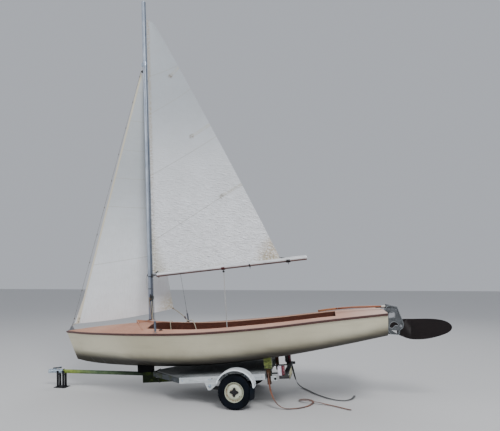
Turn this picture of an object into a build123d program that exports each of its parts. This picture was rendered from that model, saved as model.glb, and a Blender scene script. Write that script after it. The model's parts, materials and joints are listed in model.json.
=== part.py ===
from build123d import *
import math
import os

# A sailing dinghy of about five metres on its road trailer, in millimetres.
# Everything is drawn level, with X towards the bow, Y to port and Z up, from the floor under the axle,
# and is tipped bow down about the axle at the end, as the trailer parks on its nose leg.
trim = 4.811
gap = 0.3

# Hull: one row for each section plane, from the transom to the stem, each plane square to the middle
# plane and running from its keel point to its sheer point.
# keel_x, keel_z, sheer_x, sheer_z, chine_y, chine_up, sheer_y, bilge (how far the chine is rounded),
# camber of the deck, wall (a share of the hull's wall)
HULL = [
    (-2106, 742, -2130, 1112, 500, 70, 620, 52, 14, 1),
    (-1450, 643, -1450, 1100, 600, 88, 765, 78, 26, 1),
    (-450, 526, -450, 1061, 665, 112, 870, 92, 24, 1),
    (600, 472, 600, 1054, 670, 140, 862, 92, 26, 1),
    (1450, 500, 1500, 1084, 545, 205, 690, 74, 95, 1),
    (2030, 553, 2130, 1106, 365, 240, 445, 30, 74, 1),
    (2420, 604, 2560, 1121, 190, 215, 232, 14, 42, 1),
    (2600, 640, 2765, 1131, 92, 180, 112, 10, 18, 0.9),
    (2745, 680, 2925, 1137, 9, 160, 14, 8, 0.3, 0.4),
]
station_step = 330
hull_wall = 9
transom_wall = 16
deck_t = 9
strake_w = 20
strake_h = 34
strake_lip = 3

# Cockpit: corners of the opening in the deck on the port side, from aft forward, and what lines it
COCKPIT = [(-1450, 500), (500, 550), (1100, 540), (1310, 500), (1385, 0)]
lining_t = 12
bottom_board_t = 12
bottom_board_w = 130
bottom_board_pitch = 145
bottom_board_y = 105
bearer_h = 20
bearer_w = 30
bearer_in, bearer_out = 32, 470
well_y, well_high, well_gap = 490, 800, 5
BEARERS = [-1250, -700, -330, 830, 1120]
boards_aft, boards_fore = -1350, 1200
case_aft, case_fore = -290, 790
case_top = 905
case_wall = 16
case_end = 40
slot_w = 24
centreboard_t = 20
centreboard_play = 20
centreboard_low, centreboard_heel, centreboard_shoulder, centreboard_top = 530, 500, 700, 870
centreboard_tail = 90
centreboard_bolt_d, centreboard_bolt_behind, centreboard_bolt_z = 20, 160, 610
thwart_aft, thwart_fore = 100, 330
thwart_t = 25
mast_post_w = 60

# Splash board
splash_x, splash_z = 1698, 1232
splash_end_x, splash_end_y = 1350, 580
splash_end_h = 14
splash_t = 12
splash_foot, splash_end_foot = 110, 80

# Mast
mast_x, mast_z = 1450, 1211
mast_length = 5588
mast_rake = 1.27
mast_fore_aft, mast_across = 70, 58
mast_wall = 2.5
track_r, track_bore_r, track_slot = 7, 4.5, 3
hounds_up = 4360
hounds_h = 70
eye_d = 10
step_l, step_w, step_up = 100, 84, 8
stay_d = 5
bow_eye_x, bow_eye_z, eye_over = 2837, 1192, 12
chain_x, chain_y, chain_z = 1077, 745, 1094
screw_d, screw_l = 22, 118

# Boom and mainsail
boom_up = 708
boom_d = 72
boom_wall = 2.5
boom_start, boom_l = 62, 2421
boom_rise = 1.31
pin_behind = 18
pin_d = 12
pin_play = 0.3
tongue_h = 16
lug_t = 6
lug_w = 26
sail_t = 4
luff_behind = -10
luff_l = 4505
headboard_w, headboard_drop = 140, 100
foot_l = 2090
leech_round = 22
BOOM_FITTINGS = [(1138, 56, 8), (1583, 22, 6), (2170, 60, 9)]

# Jib
jib_tack = (2745, 0, 1240)
jib_up = 4504
jib_clew = (1250, -500, 1345)
fairlead_x, fairlead_y = 1045, 620
fairlead_l, fairlead_w, fairlead_over, fairlead_under = 64, 28, 7, 40
fairlead_out, fairlead_up, fairlead_d = 50, 84, 13
fairlead_ring_r, fairlead_ring_t = 15, 6
fairlead_roller_d, fairlead_roller_h = 30, 12
sheet_x = 215
sheet_base_d, sheet_base_t = 68, 10
sheet_post_d, sheet_post_h = 24, 40
sheet_block_d, sheet_block_t = 52, 22

# Rudder
rudder_behind = 30
RUDDER_HINGES = [58, 268]
pintle_d, pintle_head, pintle_play = 10, 26, 0.05
gudgeon_d, gudgeon_h = 23, 22
gudgeon_plate_w, gudgeon_plate_h, gudgeon_plate_t = 120, 34, 3
stock_gap, cheek_t = 34, 7
blade_t = 24
blade_bolt_d = 16
tiller_w, tiller_t = 34, 30
tang_t, tang_w = 4, 26
STOCK = [(26, 345), (46, 456), (206, 418), (222, 372), (288, 175), (270, 118), (250, 100), (224, 92),
         (217, 26), (189, 18), (30, 34)]
STOCK_WEB = [(42, 90), (42, 345), (66, 345), (66, 90)]
STOCK_HEAD = [(46, 320), (66, 445), (215, 405), (215, 345), (60, 320)]
STOCK_WINDOWS = [
    [(80, 260), (176, 262), (174, 338), (78, 340)],
    [(84, 128), (88, 160), (112, 190), (148, 204), (184, 192), (206, 166), (200, 152), (172, 158), (148, 150),
     (134, 126), (108, 116)],
    [(100, 86), (205, 80), (184, 36)],
]
hinge_room = 6
blade_pivot = (237, 146)
blade_head_r = 80
# Outline of the blade from its bolt, how far aft and how far up, from the head round the tip
BLADE = [(-60, 56), (0, 86), (150, 88), (306, 80), (499, 60), (601, 34), (667, -6), (695.6, -60), (676, -102),
         (615, -141), (505, -174), (345, -201), (227, -204), (94, -186), (30, -160), (-56, -118)]
TILLER = [(-2200, 0, 1156), (-1650, 0, 1183), (-1200, 0, 1166)]
EXTENSION = [(-1470, 34, 1188), (-2170, 34, 1168)]
extension_d = 20

# Trailer
tyre_d, tyre_w = 460, 104
tread_w = 70
rim_d, rim_t = 262, 5
bead_w, flange_d, flange_t = 76, 286, 4
wheel_y = 712
axle_z = tyre_d / 2
hub_d, hub_in = 78, 40
lobe_r, lobe_w, lobe_t = 50, 30, 8
stub_d = 30
bearing_play = 0.3
rail_y, rail_w, rail_wall, rail_low, rail_high = 620, 40, 4, 350, 428
rail_aft, rail_fore = -418, 800
apex_x = 1375
arm_bar_w = 45
deck_sheet_t = 8
CROSS = [(-398, 60), (360, 60), (770, 50)]
spine_low, spine_high, spine_w, spine_wall = 262, 318, 60, 4
spine_fore = 1620
bar_d, bar_wall = 58, 4
bar_aft, bar_aft_z = 1490, 386
bar_fore, bar_fore_z = 3065, 504
coupling_l, coupling_t, coupling_cap = 208, 5, 3
socket_l = 32
ball_d = 50
block_x, block_l, block_w, block_low = 1570, 234, 110, 424
post_l, post_w = 90, 74
LEGS = [bar_fore - 79, bar_fore + 19]
leg_w, leg_t = 36, 8
base_l, base_w, base_t = 200, 150, 8
pivot_x, pivot_z, pivot_d = 375, 285, 46
arm_t, arm_w = 24, 46
saddle_y = 420
bracket_t, bracket_fore = 6, 60
BRACKET = [(-130, 43), (-26, -34), (16, -38)]
guard_x, guard_z, guard_r, guard_w, guard_t, guard_lip = -22, 300, 265, 158, 3, 16
guard_from, guard_to = 15.5, 183
flap_w, flap_t, flap_low, flap_lean = 130, 5, 126, 26
bilge_y, bilge_w = 500, 50
pad_high = 720
bilge_low, bilge_high = 262, 474
pad_l, pad_w = 110, 90
lamp_arm_y, lamp_arm_w = 300, 30
lamp_bar_x, lamp_bar_w, lamp_bar_low, lamp_bar_high, lamp_bar_y = -672, 60, 335, 370, 540
lamp_y, lamp_l, lamp_w, lamp_h = 495, 96, 84, 128
plate_w, plate_h, plate_t = 420, 110, 3

# Two lashing straps: how they hang and lie, in the frame of the floor
strap_d = 20
STRAP_A = [(-431, 535.4, 462), (-437, 535.6, 395), (-450, 541, 300), (-478, 562, 195), (-524, 582, 105),
           (-592, 594, 38), (-676, 588, 12), (-766, 560, 11), (-856, 512, 11), (-940, 432, 11),
           (-1004, 322, 11), (-1034, 200, 11), (-1006, 92, 11), (-918, 48, 11), (-836, 92, 12),
           (-836, 186, 24), (-912, 240, 36), (-1010, 256, 36), (-1106, 262, 30), (-1200, 276, 14),
           (-1290, 312, 11), (-1380, 372, 11), (-1462, 432, 11), (-1540, 478, 11)]
STRAP_B = [(-661, -550.4, 424), (-666, -551, 376), (-680, -582, 300), (-698, -626, 205), (-720, -656, 112),
           (-762, -656, 42), (-824, -606, 13), (-894, -510, 11), (-966, -390, 11), (-1042, -268, 11),
           (-1136, -150, 11), (-1240, -46, 11), (-1350, 30, 11), (-1462, 44, 11), (-1552, -26, 11),
           (-1600, -140, 11), (-1626, -262, 11)]


def block(x, y, z):
    """A box between two values along each axis."""
    low, high = Vector(x[0], y[0], z[0]), Vector(x[1], y[1], z[1])
    size = high - low
    return Pos(*((low + high) * 0.5)) * Box(size.X, size.Y, size.Z)


def rod(start, end, diameter, bore=0):
    """A round bar from start to end, or a tube when it has a bore."""
    start, end = Vector(*start), Vector(*end)
    section = Circle(diameter / 2)
    if bore:
        section -= Circle(bore / 2)
    return extrude(Plane(origin=start, z_dir=end - start) * section, (end - start).length)


def mirrored(shape):
    """The shape on the starboard side."""
    return shape.mirror(Plane.XZ)


def pair(shape):
    """A port piece and its starboard twin, which don't touch."""
    return Compound([*shape.solids(), *mirrored(shape).solids()])


def profile(points, thickness, y=0):
    """A plate standing fore and aft, cut to an outline of x and z, with its middle at y."""
    outline = Plane.XZ * make_face(Polyline(*points, close=True))
    return Pos(0, y + thickness / 2, 0) * extrude(outline, thickness)


def channel(face, low, high, wall):
    """A channel with its back upwards, over a face seen from above."""
    inside = offset(face, -wall, kind=Kind.INTERSECTION)
    bar = extrude(face, amount=high - low, dir=(0, 0, 1))
    bar -= extrude(inside, amount=high - low - wall, dir=(0, 0, 1))
    return Pos(0, 0, low) * bar


def faired(rows, step):
    """The table's rows with smooth ones put in between, about step apart along the sheer."""
    places = [row[2] for row in rows]
    spans = [after - before for before, after in zip(places, places[1:])]
    grades = [[(b - a) / span for a, b in zip(row, after)] for row, after, span in zip(rows, rows[1:], spans)]
    slopes = [grades[0]]
    for before, after, grade_in, grade_out in zip(spans, spans[1:], grades, grades[1:]):
        slopes.append([(after * a + before * b) / (before + after) for a, b in zip(grade_in, grade_out)])
    slopes.append(grades[-1])
    result = []
    for i, span in enumerate(spans):
        pieces = math.ceil(span / step)
        for piece in range(pieces):
            t = piece / pieces
            start, end = (1 + 2 * t) * (1 - t) ** 2, (3 - 2 * t) * t ** 2
            leave, arrive = t * (1 - t) ** 2 * span, (t - 1) * t ** 2 * span
            values = zip(rows[i], rows[i + 1], slopes[i], slopes[i + 1])
            result.append(tuple(start * a + end * b + leave * m + arrive * n for a, b, m, n in values))
    return result + [rows[-1]]


class Section:
    """One section plane of the hull, and the points of its port side moved inwards by inset."""

    def __init__(self, row):
        keel_x, keel_z, self.sheer_x, self.sheer_z, self.chine_y, self.chine_up, self.sheer_y = row[:7]
        self.bilge, self.camber, self.wall = row[7:]
        self.height = math.hypot(self.sheer_x - keel_x, self.sheer_z - keel_z)
        self.plane = Plane(
            origin=(keel_x, 0, keel_z),
            x_dir=(0, 1, 0),
            z_dir=((self.sheer_z - keel_z) / self.height, 0, (keel_x - self.sheer_x) / self.height),
        )
        floor = math.atan2(self.chine_up, self.chine_y)
        side = math.atan2(self.height - self.chine_up, self.sheer_y - self.chine_y)
        self.floor_rise = math.cos(floor)
        self.along_floor = Vector(math.cos(floor), math.sin(floor))
        self.along_side = Vector(math.cos(side), math.sin(side))
        self.in_floor = Vector(-math.sin(floor), math.cos(floor))
        self.in_side = Vector(-math.sin(side), math.cos(side))
        self.half_turn = (side - floor) / 2

    def topside(self, inset, below):
        """The point of the topside, moved inwards by inset, that lies below the sheer."""
        slide = (below + inset * self.in_side.Y) / self.along_side.Y
        return Vector(self.sheer_y, self.height) + self.in_side * inset - self.along_side * slide

    def side(self, inset, below):
        """Keel line, bilge arc and topside of the port side, moved inwards, ending below the sheer."""
        radius = self.bilge / math.tan(self.half_turn) - inset
        reach = radius * math.tan(self.half_turn)
        inwards = self.in_floor + self.in_side
        keel = Vector(0, inset / self.floor_rise)
        chine = Vector(self.chine_y, self.chine_up)
        chine += inwards * (inset / (1 + self.in_floor.dot(self.in_side)))
        low = chine - self.along_floor * reach
        high = chine + self.along_side * reach
        middle = low + self.in_floor * radius - inwards.normalized() * radius
        return [Line(keel, low), ThreePointArc(low, middle, high), Line(high, self.topside(inset, below))]

    def deck_arc(self, lift):
        """The arc of the deck across the boat, lift above its top face."""
        edge = self.topside(0, -lift)
        return ThreePointArc((-edge.X, edge.Y), (0, self.height + self.camber + lift), edge)


SECTIONS = [Section(row) for row in faired(HULL, station_step)]


def deck_top(x, y=0):
    """Height of the deck's top face at a place on it."""
    for aft, fore in zip(SECTIONS, SECTIONS[1:]):
        if x <= fore.sheer_x:
            break
    share = (x - aft.sheer_x) / (fore.sheer_x - aft.sheer_x)
    sheer_z = aft.sheer_z + share * (fore.sheer_z - aft.sheer_z)
    sheer_y = aft.sheer_y + share * (fore.sheer_y - aft.sheer_y)
    camber = aft.camber + share * (fore.camber - aft.camber)
    return sheer_z + camber * (1 - (y / sheer_y) ** 2)


def ring(*edges):
    """A face bounded by edges that are given in order round it."""
    return make_face(Wire(list(edges)))


def skin():
    """The hull's skin: the wall of one side, lofted from the transom to the stem, and its mirror image."""
    faces = []
    for s in SECTIONS:
        outer = s.side(0, deck_t + gap)
        inner = s.side(hull_wall * s.wall, deck_t + gap)
        rim = Line(outer[2] @ 1, inner[2] @ 1)
        keel = Line(outer[0] @ 0, inner[0] @ 0)
        faces.append(s.plane * ring(*outer, rim, *inner, keel))
    port = loft(faces, ruled=True)
    return port + mirrored(port)


def room(inset, lift):
    """The space inside the hull, inset from its outside, up to lift from the top of the deck."""
    faces = []
    for s in SECTIONS[:-1]:
        port = s.side(inset, -lift)
        arc = s.deck_arc(lift)
        top = Line(port[2] @ 1, arc @ 1)
        half = ThreePointArc(arc @ 1, arc @ 0.75, arc @ 0.5)
        if inset:
            half = ThreePointArc(port[2] @ 1, arc @ 0.75, arc @ 0.5)
        faces.append(s.plane * ring(*port, half, Line(half @ 1, port[0] @ 0)))
    port = loft(faces, ruled=True)
    return port + mirrored(port)


def deck_slab(low, high):
    """The whole deck between two heights measured from its top, as wide as the hull."""
    faces = []
    for s in SECTIONS:
        under, over = s.deck_arc(low), s.deck_arc(high)
        faces.append(s.plane * make_face([under, over, Line(under @ 0, over @ 0), Line(under @ 1, over @ 1)]))
    return loft(faces, ruled=True)


def strake():
    """The port rubbing strake, outside the hull and a lip above the deck's edge."""
    faces = []
    for s in SECTIONS:
        top = s.topside(-gap, -strake_lip)
        low = s.topside(-gap, strake_h - strake_lip)
        points = [top, top + Vector(strake_w, -strake_lip), low + Vector(strake_w * 0.6, 0), low]
        faces.append(s.plane * make_face(Polyline(*points, close=True)))
    return loft(faces, ruled=True)


parts = {}

# Hull and deck
corners = COCKPIT + [(x, -y) for x, y in reversed(COCKPIT[:-1])]
opening = make_face(Polyline(*corners, close=True))
tall = 2000
case_slot = block((case_aft + case_end, case_fore - case_end), (-slot_w / 2, slot_w / 2), (0, case_top + 1))
parts["hull_shell"] = skin() - case_slot
inner_room = room(hull_wall + gap, -deck_t - 3 * gap)
end = SECTIONS[0]
transom_edge = end.side(hull_wall + gap, deck_t + 3 * gap)
transom_top = Line(transom_edge[2] @ 1, Vector(0, (transom_edge[2] @ 1).Y))
half_transom = end.plane * ring(*transom_edge, transom_top, Line(transom_top @ 1, transom_edge[0] @ 0))
half_transom = extrude(half_transom, transom_wall)
parts["transom"] = half_transom + mirrored(half_transom)
parts["rubbing_strakes"] = pair(strake())
deck = deck_slab(-deck_t, 0) - extrude(opening, tall)
aft_edge, fore_edge = COCKPIT[0][0], COCKPIT[-2][0]
parts["aft_deck"] = deck & block((-3000, aft_edge), (-1000, 1000), (0, tall))
parts["foredeck"] = deck & block((fore_edge, 3500), (-1000, 1000), (0, tall))
port_deck = deck & block((aft_edge, fore_edge), (1, 1000), (0, tall))
parts["side_decks"] = pair(port_deck)

# Cockpit lining: the sides and the bulkheads under the edge of the deck
lining = (extrude(offset(opening, lining_t, kind=Kind.INTERSECTION) - opening, tall)) & inner_room
aft_bulkhead = lining & block((-3000, aft_edge), (-1000, 1000), (0, tall))
front_bulkhead = lining & block((fore_edge, 3500), (-1000, 1000), (0, tall))
parts["bulkheads"] = Compound(aft_bulkhead.solids() + front_bulkhead.solids())
parts["cockpit_sides"] = pair(lining & block((aft_edge, fore_edge), (1, 1000), (0, tall)))

# Bottom boards on their bearers
well = inner_room & block((aft_edge + well_gap, fore_edge - well_gap), (-well_y, well_y), (0, well_high))
bearers = []
boards = []
lifted = Pos(0, 0, bearer_h) * well
bearing = well - Pos(0, 0, bearer_h - gap) * well
for x in BEARERS:
    side = (bearer_in, bearer_out)
    bearers += (bearing & block((x, x + bearer_w), side, (0, well_high - 3 * bearer_h))).solids()
boarding = lifted - Pos(0, 0, bearer_h + bottom_board_t) * well
for i in range(3):
    y = bottom_board_y + i * bottom_board_pitch
    side = (y - bottom_board_w / 2, y + bottom_board_w / 2)
    boards += (boarding & block((boards_aft, boards_fore), side, (0, well_high - 2 * bearer_h))).solids()
parts["floor_bearers"] = Compound(bearers + [mirrored(solid) for solid in bearers])
parts["bottom_boards"] = Compound(boards + [mirrored(solid) for solid in boards])

# Centreboard case, centreboard and thwart
case_y = case_wall + slot_w / 2
case = block((case_aft, case_fore), (-case_y, case_y), (0, case_top)) & inner_room
bolt_x, bolt_z = case_fore - centreboard_bolt_behind, centreboard_bolt_z
bolt_hole = rod((bolt_x, -case_y, bolt_z), (bolt_x, case_y, bolt_z), centreboard_bolt_d + 2 * gap)
parts["centreboard_case"] = case - case_slot - bolt_hole
board_aft, board_fore = case_aft + case_end + centreboard_play, case_fore - case_end - centreboard_play
board_corners = [
    (board_aft, centreboard_low),
    (board_fore, centreboard_heel),
    (board_fore, centreboard_shoulder),
    (board_aft + centreboard_tail, centreboard_top),
    (board_aft, centreboard_top),
]
board = profile(board_corners, centreboard_t)
parts["centreboard"] = board + rod((bolt_x, -case_y, bolt_z), (bolt_x, case_y, bolt_z), centreboard_bolt_d)
bench = extrude(offset(opening, -gap, kind=Kind.INTERSECTION), thwart_t)
bench = Pos(0, 0, case_top + gap) * bench
parts["thwart"] = bench & block((thwart_aft, thwart_fore), (-1000, 1000), (0, tall))
post_side = mast_post_w / 2
post_x = (mast_x - post_side, mast_x + post_side)
parts["mast_post"] = inner_room & block(post_x, (-post_side, post_side), (0, tall))

# Splash board
wing_l = math.hypot(splash_x - splash_end_x, splash_end_y)
wing_plane = Plane(
    origin=(splash_x, 0, 0),
    x_dir=((splash_end_x - splash_x) / wing_l, splash_end_y / wing_l, 0),
    z_dir=(splash_end_y / wing_l, (splash_x - splash_end_x) / wing_l, 0),
)
end_z = deck_top(splash_end_x, splash_end_y) + splash_end_h
wing_points = [(0, splash_z), (0, splash_z - splash_foot), (wing_l, end_z - splash_end_foot), (wing_l, end_z)]
wing = extrude(wing_plane * make_face(Polyline(*wing_points, close=True)), -splash_t)
under_deck = deck_slab(-80, gap)
parts["splash_board"] = wing + mirrored(wing) - under_deck

# Mast: everything on it is placed by how far up it stands, in a plane that leans with it
lean = math.radians(mast_rake)
mast_up = Vector(-math.sin(lean), 0, math.cos(lean))
mast_fore = Vector(math.cos(lean), 0, math.sin(lean))


def up_mast(up, behind=0):
    """The plane across the mast at a height up it, X forward, its origin behind the mast's middle."""
    foot = Vector(mast_x, 0, mast_z)
    return Plane(origin=foot + mast_up * up - mast_fore * behind, x_dir=mast_fore, z_dir=mast_up)


track_x = -(mast_fore_aft / 2 + track_r / 2)
aft_face = mast_fore_aft / 2 + 1.5 * track_r
wall_in = mast_wall + gap
oval = Ellipse(mast_fore_aft / 2, mast_across / 2)
tube = oval + Pos(track_x, 0) * Circle(track_r)
tube -= Ellipse(mast_fore_aft / 2 - mast_wall, mast_across / 2 - mast_wall)
tube -= Pos(track_x, 0) * Circle(track_bore_r)
tube -= Pos(track_x - track_r, 0) * Rectangle(2 * track_r, track_slot)
parts["mast"] = extrude(up_mast(0) * tube, mast_length)
socket = Ellipse(mast_fore_aft / 2 + gap, mast_across / 2 + gap) + Pos(track_x, 0) * Circle(track_r + gap)
step_x = (mast_x - step_l / 2, mast_x + step_l / 2)
step = block(step_x, (-step_w / 2, step_w / 2), (mast_z - 90, mast_z + step_up))
step = step & block((fore_edge + 40, 3000), (-1000, 1000), (0, tall))
parts["mast_step"] = step - extrude(up_mast(-gap) * socket, 200) - under_deck
plug = Ellipse(mast_fore_aft / 2 - wall_in, mast_across / 2 - wall_in)
masthead = extrude(up_mast(mast_length - 40) * plug, 45) + extrude(up_mast(mast_length + gap) * oval, 10)

# Hounds: a band round the mast with a tang for each stay, and the stays down to the deck
band = Ellipse(mast_fore_aft / 2 + tang_t, mast_across / 2 + tang_t)
band -= Ellipse(mast_fore_aft / 2 + gap, mast_across / 2 + gap)
band -= Pos(-mast_fore_aft, 0) * Rectangle(mast_fore_aft * 1.4, 2 * track_r + 6)
hounds = extrude(up_mast(hounds_up) * band, hounds_h)
fore_tang = Pos(mast_fore_aft / 2 + tang_w / 2 + 1, 0) * Rectangle(tang_w, tang_t)
side_tang = Rectangle(tang_w, tang_t)
hounds += extrude(up_mast(hounds_up) * fore_tang, hounds_h)
side_y = mast_across / 2 + tang_t * 1.5 - 1
tops = {"fore": up_mast(hounds_up - 1).from_local_coords(Vector(mast_fore_aft / 2 + tang_w / 2, 0, 0))}
for side in (1, -1):
    hounds += extrude(up_mast(hounds_up - tang_w) * (Pos(0, side * side_y) * side_tang), hounds_h)
    tops[side] = up_mast(hounds_up - tang_w - 1).from_local_coords(Vector(0, side * side_y, 0))
parts["mast_fittings"] = Compound(masthead.solids() + hounds.solids())
bow_eye = Vector(bow_eye_x, 0, bow_eye_z)
forestay_dir = (tops["fore"] - bow_eye).normalized()
stay_foot = (eye_over + gap) / forestay_dir.Z + stay_d / 4
forestay = rod(bow_eye + forestay_dir * stay_foot, tops["fore"], stay_d)
bow_corners = [
    (bow_eye_x - 60, deck_top(bow_eye_x) - 20),
    (bow_eye_x + 60, deck_top(bow_eye_x) - 20),
    (bow_eye_x + 20, bow_eye_z + eye_over),
    (bow_eye_x - 20, bow_eye_z + eye_over),
]
bow_plate = profile(bow_corners, tang_t)
bow_base = block((bow_eye_x - 75, bow_eye_x + 60), (-16, 16), (bow_eye_z - 80, deck_top(bow_eye_x) + 8))
bow_hole = rod((bow_eye_x, -20, bow_eye_z), (bow_eye_x, 20, bow_eye_z), eye_d)
bow_fitting = bow_base + bow_plate - bow_hole - under_deck
chain_eye = Vector(chain_x, chain_y, chain_z)
shroud_dir = (tops[1] - chain_eye).normalized()
screw_top = chain_eye + shroud_dir * (screw_l + 12)
shroud = rod(screw_top + shroud_dir * gap, tops[1], stay_d)
parts["stays"] = Compound(forestay.solids() + pair(shroud).solids())
parts["rigging_screws"] = pair(rod(chain_eye + shroud_dir * 12, screw_top, screw_d))
chain = rod(chain_eye - shroud_dir * 60, chain_eye + shroud_dir * (12 - gap), 12)
chain_top = deck_top(chain_x, chain_y) + 4
chain += block((chain_x - 30, chain_x + 30), (chain_y - 16, chain_y + 16), (chain_z - 60, chain_top))
parts["chainplates"] = Compound(pair(chain - under_deck).solids() + bow_fitting.solids())

# Gooseneck: two lugs and a pin on the mast, the boom's tongue between them
pin_at = aft_face + pin_behind
lug_reach = pin_behind + lug_w / 2
lug_gap = tongue_h / 2 + 0.5
lug = Pos(-aft_face - gap - lug_reach / 2, 0) * Rectangle(lug_reach, lug_w)
back = Pos(-aft_face - gap - 2, 0) * Rectangle(4, lug_w)
neck = extrude(up_mast(boom_up - lug_gap - 3 * lug_t) * back, 2 * lug_gap + 6 * lug_t)
neck += extrude(up_mast(boom_up + lug_gap) * lug, lug_t)
neck += extrude(up_mast(boom_up - lug_gap - lug_t) * lug, lug_t)
neck += extrude(up_mast(boom_up - lug_gap - 1, pin_at) * Circle(pin_d / 2), 2 * lug_gap + 2)
parts["gooseneck"] = neck
tilt = math.radians(boom_rise)
pin = up_mast(boom_up, pin_at).origin
boom_aft = Vector(-math.cos(tilt), 0, math.sin(tilt))
boom_over = Vector(math.sin(tilt), 0, math.cos(tilt))


def along_boom(out, over=0):
    """The plane across the boom at a distance out from the gooseneck pin, over its middle."""
    return Plane(origin=pin + boom_aft * out + boom_over * over, x_dir=(0, 1, 0), z_dir=boom_aft)


boom_bore = boom_d - 2 * boom_wall
parts["boom"] = extrude(along_boom(boom_start) * (Circle(boom_d / 2) - Circle(boom_bore / 2)), boom_l)
tongue = Pos(-boom_start / 2 - 4, 0) * Rectangle(boom_start + 8, lug_w) + Circle(lug_w / 2)
tongue -= Circle(pin_d / 2 + pin_play)
boom_end = extrude(up_mast(boom_up - tongue_h / 2, pin_at) * tongue, tongue_h)
boom_end += extrude(along_boom(boom_start + gap) * Circle(boom_bore / 2 - gap), 40)
boom_end += extrude(along_boom(boom_start - 6) * Circle(boom_d / 2), 6 - gap)
fittings = []
for out, width, thick in BOOM_FITTINGS:
    clip = Circle(boom_d / 2 + thick) - Circle(boom_d / 2 + gap)
    clip -= Pos(0, -boom_d) * Rectangle(3 * boom_d, 2 * boom_d)
    eye = along_boom(out + width / 2, -boom_d / 2 - thick - 12)
    clip = extrude(along_boom(out) * clip, width)
    clip += extrude(eye * Rectangle(thick, 30), 4, both=True)
    fittings += clip.solids()
parts["boom_fittings"] = Compound(fittings + boom_end.solids())

# Mainsail along the mast and the boom
foot_start = pin + boom_aft * luff_behind + boom_over * (boom_d / 2 + gap)
clew = foot_start + boom_aft * foot_l
head = foot_start + mast_up * luff_l
board_aft_corner = head - Vector(headboard_w, 0, headboard_drop)
leech_mid = (board_aft_corner + clew) * 0.5
leech_out = Vector(-(board_aft_corner - clew).Z, 0, (board_aft_corner - clew).X).normalized()
leech_mid += leech_out * leech_round
main_edges = [Line(foot_start, head), Line(head, board_aft_corner),
              ThreePointArc(board_aft_corner, leech_mid, clew), Line(clew, foot_start)]
parts["mainsail"] = extrude(make_face(Wire(main_edges)), sail_t / 2, both=True)

# Jib, hanked close behind the forestay and sheeted to starboard
jib_top = bow_eye + forestay_dir * jib_up - Vector(stay_d / 2 + 2 * gap, 0, 0)
jib_face = make_face(Polyline(jib_tack, jib_top, jib_clew, close=True))
parts["jib"] = extrude(jib_face, sail_t / 2, both=True)

# Fairleads: the starboard block stands up under its sheet, and the port one lies on the deck
lead_z = deck_top(fairlead_x, fairlead_y)
lead_x = (fairlead_x - fairlead_l / 2, fairlead_x + fairlead_l / 2)
lead_y = (fairlead_y - fairlead_w / 2, fairlead_y + fairlead_w / 2)
lead = block(lead_x, lead_y, (lead_z - fairlead_under, lead_z + fairlead_over))
pulled = Vector(fairlead_x + fairlead_out, -fairlead_y, lead_z + fairlead_up)
lifted = mirrored(lead) + rod((fairlead_x, -fairlead_y, lead_z), pulled, fairlead_d)
lifted += Pos(*pulled) * Rot(0, 90, 0) * Torus(fairlead_ring_r, fairlead_ring_t)
roller = Cylinder(fairlead_roller_d / 2, fairlead_roller_h)
resting = lead + Pos(fairlead_x, fairlead_y, lead_z + fairlead_over + fairlead_roller_h / 2 - 1) * roller
fairleads = (lifted - under_deck).solids() + (resting - under_deck).solids()
sheet_z = case_top + gap + thwart_t + gap
post_z = sheet_z + sheet_base_t
base = Pos(sheet_x, 0, sheet_z + sheet_base_t / 2) * Cylinder(sheet_base_d / 2, sheet_base_t)
base += Pos(sheet_x, 0, post_z + sheet_post_h / 2) * Cylinder(sheet_post_d / 2, sheet_post_h)
sheave = Pos(sheet_x, 0, post_z + sheet_post_h + sheet_post_d / 2 - 2) * Rot(90, 0, 0)
base += sheave * Cylinder(sheet_block_d / 2, sheet_block_t)
parts["sheet_fittings"] = Compound(fairleads + base.solids())

# Rudder: placed by how far up the transom and how far behind it a thing stands
keel_x, keel_z, sheer_x, sheer_z = HULL[0][:4]
stern_h = math.hypot(sheer_x - keel_x, sheer_z - keel_z)
stern_up = Vector((sheer_x - keel_x) / stern_h, 0, (sheer_z - keel_z) / stern_h)
stern_back = Vector(-stern_up.Z, 0, stern_up.X)


def at_stern(behind, up, y=0):
    """A point behind the transom and up it from the keel."""
    return Vector(keel_x, 0, keel_z) + stern_back * behind + stern_up * up + Vector(0, y, 0)


def stern_plate(points, thickness, y=0):
    """A plate standing fore and aft behind the transom, its outline in distances behind and up it."""
    corners = [at_stern(behind, up, y) for behind, up in points]
    return extrude(make_face(Polyline(*corners, close=True)), thickness / 2, both=True)


def stern_pin(behind, low, high, diameter):
    """A round bar parallel to the transom."""
    return rod(at_stern(behind, low), at_stern(behind, high), diameter)


def upright(near, far, low, high):
    """The corners of a rectangle behind the transom."""
    return [(near, low), (far, low), (far, high), (near, high)]


gudgeons = []
pintles = []
for up in RUDDER_HINGES:
    ring_low, ring_high = up, up + gudgeon_h
    plate_low, plate_high = up - 6, up + gudgeon_plate_h - 6
    strap = stern_plate(upright(gap, gudgeon_plate_t, plate_low, plate_high), gudgeon_plate_w)
    arm = stern_plate(upright(gap, rudder_behind, ring_low, ring_high), gudgeon_d * 0.7)
    boss = stern_pin(rudder_behind, ring_low, ring_high, gudgeon_d)
    hole = stern_pin(rudder_behind, ring_low - 1, ring_high + 1, pintle_d + 2 * pintle_play)
    gudgeons += (strap + arm + boss - hole).solids()
    pintles.append(stern_pin(rudder_behind, ring_low - 12, ring_high + pintle_head, pintle_d))
    pintles.append(stern_pin(rudder_behind, ring_high + 0.5, ring_high + pintle_head, gudgeon_d))
    arm = upright(rudder_behind, STOCK_WEB[0][0] + 20, ring_high + 0.5, ring_high + pintle_head)
    pintles.append(stern_plate(arm, 14))
parts["rudder_gudgeons"] = Compound(gudgeons)
cheek_y = (stock_gap + cheek_t) / 2
cheek = stern_plate(STOCK, cheek_t, cheek_y)
for window in STOCK_WINDOWS:
    cheek -= stern_plate(window, 2 * cheek_t, cheek_y)
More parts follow.
